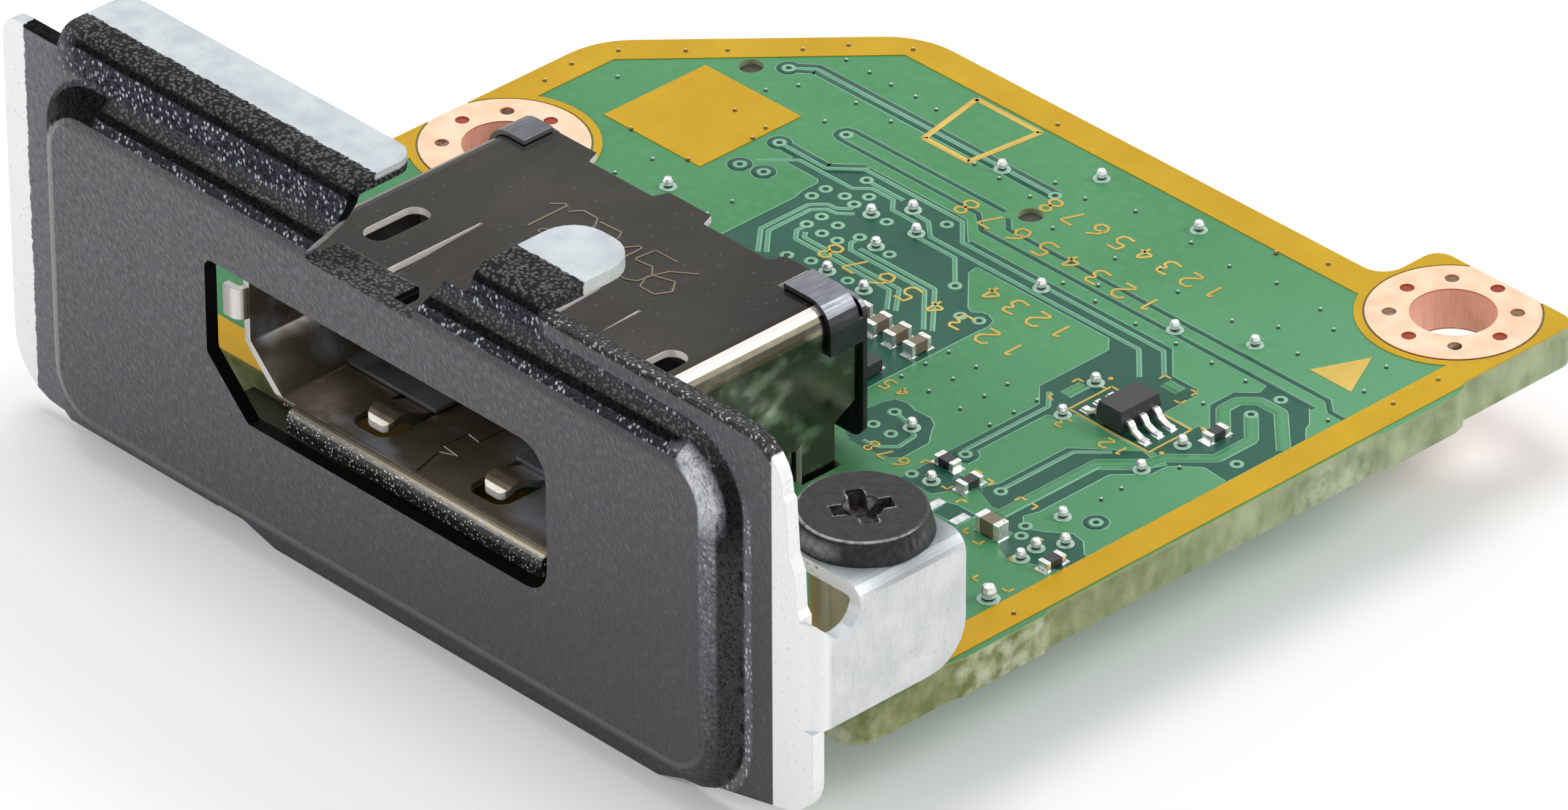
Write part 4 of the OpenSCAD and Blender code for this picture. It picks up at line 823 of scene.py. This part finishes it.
def make_ribbon_tree():
    """Flat band of even width and height along every line of the mesh, with its corners rounded."""
    tree, given, result, sockets = new_tree("ribbon", (
        ("Width", "NodeSocketFloat"), ("Height", "NodeSocketFloat"), ("Corner", "NodeSocketFloat"),
        ("Material", "NodeSocketMaterial")))
    curve = tree.nodes.new("GeometryNodeMeshToCurve")
    fillet = tree.nodes.new("GeometryNodeFilletCurve")
    fillet.mode = "POLY"
    fillet.inputs["Count"].default_value = 3
    fillet.inputs["Limit Radius"].default_value = True
    profile = tree.nodes.new("GeometryNodeCurvePrimitiveQuadrilateral")
    sweep = tree.nodes.new("GeometryNodeCurveToMesh")
    sweep.inputs["Fill Caps"].default_value = True
    realize = tree.nodes.new("GeometryNodeRealizeInstances")
    paint = tree.nodes.new("GeometryNodeSetMaterial")
    chain(tree, given, curve, fillet, sweep, realize, paint, result)
    tree.links.new(given.outputs["Corner"], fillet.inputs["Radius"])
    tree.links.new(given.outputs["Width"], profile.inputs["Width"])
    tree.links.new(given.outputs["Height"], profile.inputs["Height"])
    tree.links.new(profile.outputs[0], sweep.inputs["Profile Curve"])
    tree.links.new(given.outputs["Material"], paint.inputs["Material"])
    return tree, sockets


def make_ring_tree():
    """Flat ring round every point of the mesh; with no hole it is a plain disc."""
    tree, given, result, sockets = new_tree("rings", (
        ("Radius", "NodeSocketFloat"), ("Width", "NodeSocketFloat"), ("Height", "NodeSocketFloat"),
        ("Material", "NodeSocketMaterial")))
    spread = tree.nodes.new("GeometryNodeInstanceOnPoints")
    circle = tree.nodes.new("GeometryNodeCurvePrimitiveCircle")
    circle.inputs["Resolution"].default_value = 20
    profile = tree.nodes.new("GeometryNodeCurvePrimitiveQuadrilateral")
    sweep = tree.nodes.new("GeometryNodeCurveToMesh")
    realize = tree.nodes.new("GeometryNodeRealizeInstances")
    paint = tree.nodes.new("GeometryNodeSetMaterial")
    chain(tree, given, spread, realize, paint, result)
    tree.links.new(given.outputs["Radius"], circle.inputs["Radius"])
    tree.links.new(given.outputs["Width"], profile.inputs["Width"])
    tree.links.new(given.outputs["Height"], profile.inputs["Height"])
    tree.links.new(circle.outputs[0], sweep.inputs["Curve"])
    tree.links.new(profile.outputs[0], sweep.inputs["Profile Curve"])
    tree.links.new(sweep.outputs[0], spread.inputs["Instance"])
    tree.links.new(given.outputs["Material"], paint.inputs["Material"])
    return tree, sockets


RIBBON = make_ribbon_tree()
RINGS = make_ring_tree()


def settle(name, mesh):
    """Puts a finished mesh in the scene as a piece of the part."""
    piece = bpy.data.objects.new(name, mesh)
    scene.collection.objects.link(piece)
    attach(piece, "root")
    return piece


def grow(name, kind, lines, level, slot, **values):
    """Runs a node group on the points of the lines, given in mm on a level face, and keeps its mesh."""
    tree, sockets = kind
    points, edges = [], []
    for order, line in enumerate(lines):
        first = len(points)
        points += [(x * MM, y * MM, (level + SHUFFLE * order) * MM) for x, y in line]
        edges += [(k, k + 1) for k in range(first, len(points) - 1)]
    source = bpy.data.meshes.new(name)
    source.from_pydata(points, edges, [])
    piece = bpy.data.objects.new(name, source)
    scene.collection.objects.link(piece)
    modifier = piece.modifiers.new("grow", "NODES")
    modifier.node_group = tree
    for label, value in values.items():
        modifier[sockets[label]] = value * MM if isinstance(value, float) else value
    graph = bpy.context.evaluated_depsgraph_get()
    made = bpy.data.meshes.new_from_object(piece.evaluated_get(graph))
    bpy.data.objects.remove(piece)
    bpy.data.meshes.remove(source)
    return settle(name, made)


def ribbons(name, lines, width, material, corner=0.12, level=None, slot="board_laminate"):
    """Bands along the lines, half sunk in the face at this level."""
    grow(name, RIBBON, lines, BOARD_TOP if level is None else level, slot, Width=width,
         Height=2 * next_rise(name), Corner=corner, Material=material)


def rings(name, spots, inner, outer, material, level=None, slot="board_laminate"):
    """Flat rings, or discs where the inner radius is next to nothing."""
    grow(name, RINGS, [[spot] for spot in spots], BOARD_TOP if level is None else level, slot,
         Radius=(inner + outer) / 2, Width=outer - inner, Height=2 * next_rise(name), Material=material)


def sheets(name, outlines, material):
    """Flat closed areas of the board's top, one for each outline."""
    points, faces = [], []
    rise = next_rise(name)
    for order, outline in enumerate(outlines):
        n = len(outline)
        turn = sum(a[0] * b[1] - b[0] * a[1] for a, b in zip(outline, outline[1:] + outline[:1]))
        loop = outline if turn > 0 else outline[::-1]
        first = len(points)
        for z in (BOARD_TOP - SUNK, BOARD_TOP + rise + SHUFFLE * order):
            points += [(x * MM, y * MM, z * MM) for x, y in loop]
        faces.append([first + k for k in range(n)][::-1])
        faces.append([first + n + k for k in range(n)])
        faces += [(first + k, first + (k + 1) % n, first + n + (k + 1) % n, first + n + k) for k in range(n)]
    mesh = bpy.data.meshes.new(name)
    mesh.from_pydata(points, [], faces)
    mesh.materials.append(material)
    settle(name, mesh)


# Torn strip of laminate below the mouth: its ends in X, its sections, and its outline in Y and Z
STUB_ENDS = (-27.2, -7.3)
STUB_SECTIONS = 26
STUB_PROFILE = ((-33.4, 0.02), (-33.4, 0.78), (-34.75, 0.78), (-34.82, 0.7), (-34.82, 0.1), (-34.75, 0.02))


def add_front_stub(material):
    """Torn laminate below the mouth, where the board was snapped from its panel."""
    points, faces = [], []
    n = len(STUB_PROFILE)
    for k in range(STUB_SECTIONS):
        x = STUB_ENDS[0] + (STUB_ENDS[1] - STUB_ENDS[0]) * k / (STUB_SECTIONS - 1)
        torn = 0.05 * math.sin(2.3 * k) + 0.03 * math.sin(5.1 * k)
        points += [(x * MM, (y + (torn if y < -34 else 0)) * MM, z * MM) for y, z in STUB_PROFILE]
    for first in range(0, n * (STUB_SECTIONS - 1), n):
        faces += [(first + k, first + (k + 1) % n, first + n + (k + 1) % n, first + n + k)
                  for k in range(n)]
    faces.append(tuple(range(n))[::-1])
    faces.append(tuple(range(n * (STUB_SECTIONS - 1), n * STUB_SECTIONS)))
    mesh = bpy.data.meshes.new("board_front_stub")
    mesh.from_pydata(points, [], faces)
    mesh.materials.append(material)
    settle("board_front_stub", mesh)


def mask_finish(name, low, high, roughness=0.36):
    """Green mask between two shades in soft clouds, with a faint weave below it."""
    f = Finish(name, roughness=roughness)
    weave = f.cloud(0.3, 2, 0.4, 0.7, 0, 0.3)
    f.put("Base Color", f.mix(weave, f.mix(f.cloud(5.0, 2, 0.35, 0.65), low, high), high))
    f.put("Specular IOR Level", 0.25)
    f.bump(f.noise(0.4, 2), 0.006)
    return f.material


GAP = mask_finish("gap_finish", rgb(28, 82, 66), rgb(38, 94, 76))
# Pale finish for the rims, a painted highlight along the mask's edges; the via rings wear it too
EDGE = mask_finish("edge_finish", rgb(122, 182, 150), rgb(148, 202, 170))
TRACK = mask_finish("track_finish", rgb(86, 150, 116), rgb(104, 166, 132))
POUR = mask_finish("pour_finish", rgb(74, 144, 96), rgb(86, 156, 108))


def xy(*numbers):
    """Points from a row of numbers that gives the x and y of each in turn."""
    return list(zip(numbers[::2], numbers[1::2]))


# Tracks: signal lines, and the wide lines at the right
TRACKS = (
    xy(-29.05, -5.3, -28.25, -4.6, -15.7, -4.6),
    xy(-25.4, -9.25, -22.9, -9.28, -21.85, -8.3, -16.75, -8.3, -15.7, -9.33, -5.4, -9.33, -4.2, -10.5),
    xy(-25.1, -10.75, -24, -9.57, -21.2, -9.57, -20.7, -9.05, -19.6, -9.05, -19.1, -9.57, -17.9, -9.57),
    xy(-21.25, -8.8, -19.3, -8.8),
    xy(-18.5, -9.18, -17.6, -9.2, -16.8, -9.88, -6.1, -9.88, -4.75, -11.2),
    xy(-17.1, -10.25, -15.15, -10.25, -13.75, -11.6),
    xy(-20.35, -10.3, -20.2, -10.6, -20.6, -10.95, -21.05, -11, -21.5, -11.5, -21.5, -13.9, -20.4, -15.1),
    xy(-19.85, -10.75, -20.35, -11.2, -20.8, -11.25, -21.2, -11.7, -21.2, -13.8, -20.15, -14.9),
    xy(-18.5, -12, -18.5, -12.25, -18.15, -12.6, -14.3, -12.6, -12.4, -14.5),
    xy(-18, -12.28, -14.1, -12.28, -12.1, -14.35),
    xy(-20.5, -12.5, -20.5, -13.05, -20.1, -13.5, -15.2, -13.5, -14.3, -14.5),
    xy(-20.2, -12.9, -19.95, -13.2, -15, -13.2, -14, -14.35),
    xy(-6.3, -14.2, -5.62, -14.9, -5.62, -19.1, -5.4, -19.25),
    xy(-1.9, -15.4, -2.87, -16.4, -2.87, -20),
    xy(-9.15, -19.1, -8.6, -19.2, -8.2, -19.3, -7.5, -19.7, -7.4, -20.6, -7.9, -21.1, -8.6, -21.2))
WIDE_TRACKS = (
    xy(2.25, -11, 0.4, -9.25, -0.65, -9.25, -1.2, -9.8, -1.2, -10.55, 0.15, -11.9),
    xy(-0.3, -10.05, 0.95, -11.3, 0.95, -13.05, -0.35, -14.35, -0.5, -15, -1.75, -16.3, -1.75, -21.1),
    xy(-5.75, -12.95, -5.75, -13.95),
    xy(-3.85, -10.8, -3.05, -10.8))

# Bare gaps in the copper under the mask: broad ones beside a track, narrow lines, and areas
BROAD_GAPS = (TRACKS[0], TRACKS[1][:3])
GAP_LINES = (
    xy(-16.2, -6.68, -24.1, -6.68, -24.4, -6.8, -24.5, -7.08, -24.4, -7.36, -24.1, -7.48, -16.75, -7.48,
       -15.85, -8.22, 1, -8.22),
    xy(-15.75, -6.95, -15.2, -7.47, 1, -7.47, 1.6, -7.97, 2.25, -7.97))
GAP_AREAS = (
    xy(-22.2, -20.5, -22.2, -11.5, -22.35, -11, -22.35, -10.2, -22.55, -10, -24.3, -10, -24.3, -9.4,
       -22.7, -9.4, -21.75, -8.1, -16.75, -8.1, -15.55, -9.2, -15.55, -10.1, -14.15, -10.1, -14.1, -10.6,
       -12.4, -12.3, -12.05, -12.45, -11.8, -12.2, -11.5, -12.12, -11.1, -12.3, -10.95, -12.7, -11, -13.2,
       -11, -20.5),
    xy(-15.55, -9, -5.3, -9, -4, -10.3, -2.75, -10.3, -2.5, -10.55, -2.5, -12.3, -1, -12.3, -1, -14.55,
       -4.6, -14.55, -4.7, -15, -5.3, -15.3, -5.3, -18.8, -4.95, -19, -4.9, -19.6, -5.4, -19.9, -5.95, -19.6,
       -5.95, -15, -6.8, -14.15, -6.8, -10.7, -7.35, -10.1, -15.55, -10.1),
    xy(-1.25, -8.15, 0.7, -8.15, 1.6, -9.05, 1.75, -9.4, 2.25, -9.9, 2.25, -13.85, 1.05, -13.75, 0.1, -14.6,
       -1, -14.3, -1, -12, -0.45, -11.95, -1.7, -10.7, -1.7, -9.5, -1.05, -8.85),
    xy(-3.2, -16.35, -2.35, -15.6, -1.2, -14.6, -0.6, -14.7, -0.55, -15, -2, -16.4, -2, -20.9, -2.3, -20.95,
       -3.5, -20.5, -3.2, -19.7),
    xy(0.1, -14.5, 0.05, -15.4, -0.95, -16.5, -0.95, -20, -1.15, -20.6, -0.7, -21, -0.6, -21.6, -1.45, -21.6,
       -1.45, -16.6, -0.35, -15.5),
    xy(-9.9, -18.9, -9.75, -18.5, -9.3, -18.35, -8.7, -18.5, -8.4, -18.48, -8, -18.45, -7.6, -18.65,
       -7.3, -19.1, -6.85, -19.65, -6.82, -21, -7.1, -21.3, -8, -21.5, -8.9, -21.5, -9.5, -21.2, -10, -19.7),
    xy(0.1, -20.8, 0.9, -20.15, 1.5, -20.25, 2.1, -20.8, 2.3, -20.8, 2.3, -22.1, 0.4, -22.9, -0.3, -22.6,
       -0.7, -21.2),
    xy(-5.9, -20.3, -4.3, -20.3, -3.9, -21, -4.4, -21.9, -5.9, -21.9),
    xy(-3.6, -21.9, -3.2, -21.75, -2.3, -21.75, -2.3, -22.6, -3.5, -22.7))
GAP_SPOTS = xy(-29.05, -5.3, -25.4, -9.25, -25.3, -11.35, -24.3, -11.1, 0.95, -19.05, -5.35, -19.25)

# Open vias, plugged vias that show as dimples, and small vias in the gold strip
VIAS = xy(-21.25, -8.8, -17, -8.85, -20.35, -9.55, -21, -10.15, -21.85, -10.3, -20.35, -10.3, -18.65, -10.3,
    -21.85, -11, -20.55, -11.75, -19.7, -11.75, -18.55, -11.75, -16.95, -11.8, -13.75, -11.6, -20.55, -12.5,
    -19.7, -12.55, -18.95, -12.5, -12.15, -12.9, -11.45, -12.65, -18.6, -14.15, -16.7, -14.15, -19.5, -14.5,
    -25.4, -9.25, -25.3, -11.35, -24.3, -11.1, -29.05, -5.3, -24.1, -7.1, -15.7, -4.6, -0.2, -8.65,
    -0.25, -10.1, 1.7, -12.8, 0.95, -19.05, -9.15, -19.1, -9.1, -20.2, -8.2, -20.2, -5.4, -19.25,
    -2.8, -20.05, -5.8, -21.5, -0.6, -21, -0.25, -21.55)
DIMPLES = xy(-28, -3.35, -26.75, -3.35, -25.55, -3.4, -24.3, -3.35, -23.1, -3.45, -25.5, -5.25,
    -23.65, -5.25, -27.9, -5.9, -28.5, -7, -25.35, -7, -33, -10.3, -27.8, -13.4, -23.6, -13.35, -23.6, -14.6,
    -28.05, -15.05, -16.35, -3.95, -14.8, -3.95, -12.9, -3.25, -9.95, -3.35, -7.85, -3.5, -5.85, -3.1,
    -3.5, -3.25, -2.2, -3.9, 0.85, -4.35, -18, -5.2, -19.35, -5.15, -16.3, -5.3, -14.15, -6.25, -11.1, -6.1,
    -9.5, -5.4, -7.9, -6.1, -5.15, -6.1, -3.7, -5.2, -1.95, -6, 1.45, -6.1, -10.2, -7.85, -11.2, -8.65,
    -9.5, -8.7, -7.4, -8.75, -5.45, -8.65, -3.65, -8.65, -1.95, -8.65, -1.95, -10.8, 1.9, -8.4, 0, -16.85,
    0, -17.85, 0.45, -14.4, 2.4, -23.5) + [
    (x, y) for x in (-10.7, -9.3, -7.7, -6.2) for y in (-14.9, -16.05, -17.25)]
GOLD_VIAS = xy(-26.8, -1.05, -28.7, -2.55, -29.65, -4, -31.55, -6.05, -32.6, -7.2, -34.35, -9, -34.85, -10.9,
    -34.65, -12.45, 2.75, -3.65, 2.75, -5.95, -7.3, -1.65, -5.45, -0.85, -19.2, -1, 3.1, -25.2, -28.2, -8.85,
    -26.5, -8.9, -26.3, -9.75, -29.9, -12.5, -26.85, -12.5)


def add_copper_pattern():
    """Gaps in the copper, then the tracks in them, all with a pale rim as a painted highlight on the mask's
    edges.
    """
    closed = [outline + outline[:1] for outline in GAP_AREAS]
    ribbons("area_rims", closed, 2 * RIM, EDGE, corner=0.01)
    ribbons("broad_gap_rims", BROAD_GAPS, 0.65 + 2 * RIM, EDGE)
    rings("gap_spot_rims", GAP_SPOTS, 0.1, 0.47 + RIM, EDGE)
    ribbons("gap_line_rims", GAP_LINES, 0.2 + 2 * RIM, EDGE)
    sheets("gap_areas", GAP_AREAS, GAP)
    ribbons("broad_gaps", BROAD_GAPS, 0.65, GAP)
    rings("gap_spots", GAP_SPOTS, 0.05, 0.47, GAP)
    ribbons("gap_lines", GAP_LINES, 0.2, GAP)
    ribbons("track_rims", TRACKS, 0.2, EDGE)
    ribbons("tracks", TRACKS, 0.09, TRACK)
    ribbons("wide_track_rims", WIDE_TRACKS, 0.5 + RIM, EDGE, corner=0.3)
    ribbons("wide_tracks", WIDE_TRACKS, 0.5 - RIM, POUR, corner=0.3)


add_copper_pattern()
# Its colour is painted shade: far darker than the board's other cut sides, for the shadow under the lip
add_front_stub(mask_finish("stub_shade_finish", rgb(30, 32, 20), rgb(50, 54, 34), 0.6))


def shifted(spots, dx, dy):
    return [(x + dx, y + dy) for x, y in spots]


INK = mask_finish("ink_finish", rgb(206, 172, 78), rgb(232, 200, 104), 0.45)
# Dark discs of painted shade for via holes, dimples and the gold strip's vias, with pale discs as painted
# glints beside them
SHADE_DISC = mask_finish("shade_disc_finish", rgb(20, 44, 34), rgb(30, 60, 46))
GLINT = mask_finish("glint_finish", rgb(206, 232, 214), rgb(226, 244, 232))
GOLD_SHADE_DISC = mask_finish("gold_shade_disc_finish", rgb(96, 70, 16), rgb(120, 88, 24))
GOLD_GLINT = mask_finish("gold_glint_finish", rgb(244, 222, 150), rgb(250, 236, 180))
ETCHING = mask_finish("etching_finish", rgb(120, 106, 88), rgb(164, 148, 126))
VIA_R = 0.27
VIA_HOLE_R = 0.12


def add_vias():
    """Open vias as rings round a dark disc, the hole's painted shade; plugged ones, and those in the gold
    strip, as a small dark disc of painted shade with a painted glint beside it.
    """
    rings("via_holes", VIAS, 0.01, VIA_HOLE_R + 0.02, SHADE_DISC)
    rings("via_rings", VIAS, VIA_HOLE_R, VIA_R, EDGE)
    rings("dimple_shades", shifted(DIMPLES, 0.05, -0.05), 0.01, 0.08, SHADE_DISC)
    rings("dimple_glints", shifted(DIMPLES, -0.05, 0.06), 0.01, 0.05, GLINT)
    plated = BOARD_TOP + PLATING_T
    rings("gold_via_shades", shifted(GOLD_VIAS, 0.04, -0.04), 0.01, 0.09, GOLD_SHADE_DISC, plated, "gold_plating")
    rings("gold_glints", shifted(GOLD_VIAS, -0.06, 0.06), 0.01, 0.04, GOLD_GLINT, plated, "gold_plating")


# Printed marks: a corner for each small part, plain outlines, and plain numbers
CORNERS = ((-4.2, -10.45, -1, 1), (-2.6, -10.45, 1, 1), (-2.5, -11.4, 1, -1), (-6.2, -12.85, -1, 1),
           (-5.0, -12.6, 1, 1), (-6.1, -14.5, -1, -1), (-4.4, -19.7, -1, 1), (-3.4, -19.8, 1, 1),
           (-2.05, -19.8, -1, 1), (-1.2, -19.8, 1, 1), (-6.1, -20.5, -1, 1), (-4.2, -21.3, 1, -1),
           (-3.4, -21.4, -1, 1), (0.2, -21.2, -1, 1), (-1.9, -22.8, -1, -1), (-0.9, -23.0, 1, -1),
           (0.5, -22.9, -1, -1), (1.9, -22.7, 1, -1), (0.5, -24.7, -1, -1), (2.0, -24.4, 1, -1))
CHIP_OUTLINE = xy(-5, -12.35, -1, -12.35, -1, -14.5, -5, -14.5, -5, -12.35)
TRAPEZOID = xy(-22.6, -1.85, -19.25, -1.85, -19.6, -5.2, -21.95, -5.2, -22.6, -1.85)
TRIANGLE = xy(0.08, -4.28, -0.9, -6.47, 1.17, -6.47)
DOTS = xy(-0.75, -12, -5.4, -12, -0.65, -14.2)
DIGITS = {
    "1": xy(0.2, 0.75, 0.45, 1, 0.45, 0),
    "2": xy(0, 0.8, 0.15, 1, 0.5, 1, 0.65, 0.8, 0.65, 0.6, 0, 0, 0.68, 0),
    "3": xy(0, 0.95, 0.5, 0.98, 0.62, 0.78, 0.3, 0.54, 0.65, 0.4, 0.6, 0.1, 0.4, 0, 0, 0.05),
    "4": xy(0.5, 0, 0.5, 1, 0, 0.3, 0.7, 0.3),
    "5": xy(0.62, 1, 0.1, 1, 0.05, 0.55, 0.45, 0.6, 0.65, 0.4, 0.6, 0.1, 0.4, 0, 0, 0.05),
    "6": xy(0.55, 1, 0.15, 0.7, 0, 0.3, 0.15, 0.02, 0.5, 0.02, 0.65, 0.3, 0.45, 0.55, 0.08, 0.42),
    "7": xy(0, 1, 0.68, 1, 0.25, 0),
    "8": xy(0.35, 0.54, 0.08, 0.75, 0.2, 1, 0.5, 1, 0.62, 0.75, 0.35, 0.54, 0.03, 0.28, 0.15, 0, 0.55, 0,
        0.67, 0.28, 0.35, 0.54)}


def number_lines(digits, x, y, height, pitch, way=-1):
    """Strokes of a row of plain digits that starts at x with its feet at y and reads towards +x or -x."""
    return [[(x + way * (k * pitch + u * height), y + way * v * height) for u, v in DIGITS[digit]]
            for k, digit in enumerate(digits)]


NUMBER_ROWS = (number_lines("12345678", -6.6, -4.75, 0.9, 1.2)
               + number_lines("12345678", -7.6, -7.02, 0.95, 1.35)
               + number_lines("1234", -8.5, -10.6, 0.95, 1.2)
               + number_lines("12345678", -8.8, -12.72, 0.95, 1.35))
SMALL_NUMBERS = (number_lines("12", -1.5, -14.85, 0.6, 0.75) + number_lines("3", -4.3, -15.0, 0.6, 0.75)
                 + number_lines("45", -9.7, -17.7, 0.6, 0.75) + number_lines("678", -6.4, -20.95, 0.6, 0.75))
ETCHED_NUMBERS = number_lines("123456", -20.6, -27.0, 2.1, 1.28, 1)


def add_print():
    marks = [[(x - 0.3 * sx, y), (x, y), (x, y - 0.3 * sy)] for x, y, sx, sy in CORNERS]
    ribbons("part_corners", marks, 0.09, INK, corner=0.01)
    ribbons("chip_outline", [CHIP_OUTLINE], 0.09, INK, corner=0.01)
    ribbons("trapezoid", [TRAPEZOID], 0.26, INK, corner=0.01)
    sheets("triangle", [TRIANGLE], INK)
    rings("orange_dots", DOTS, 0.01, 0.1, INK)
    ribbons("number_rows", NUMBER_ROWS, 0.11, INK, corner=0.08)
    ribbons("small_numbers", SMALL_NUMBERS, 0.08, INK, corner=0.05)
    ribbons("etched_numbers", ETCHED_NUMBERS, 0.06, ETCHING, 0.1, SHELL_Z1, "shell_steel")


add_vias()
add_print()


# Floor

def add_floor():
    """White floor. The camera sees it a little brighter than it is lit, and its shadow stays."""
    reach = 6.0
    mesh = bpy.data.meshes.new("floor")
    height = cad_box[0][2] - 0.02 * MM
    corners = [(-reach, -reach), (reach, -reach), (reach, reach), (-reach, reach)]
    mesh.from_pydata([(x, y, height) for x, y in corners], [], [(0, 1, 2, 3)])
    f = Finish("floor_finish", roughness=0.9)
    f.put("Base Color", rgb(250, 250, 250))
    f.put("Specular IOR Level", 0.0)
    seen = f.node("ShaderNodeLightPath").outputs["Is Camera Ray"]
    f.put("Emission Color", (1, 1, 1, 1))
    f.put("Emission Strength", f.all_of(seen, 0.14))
    mesh.materials.append(f.material)
    floor = bpy.data.objects.new("floor", mesh)
    scene.collection.objects.link(floor)


add_floor()
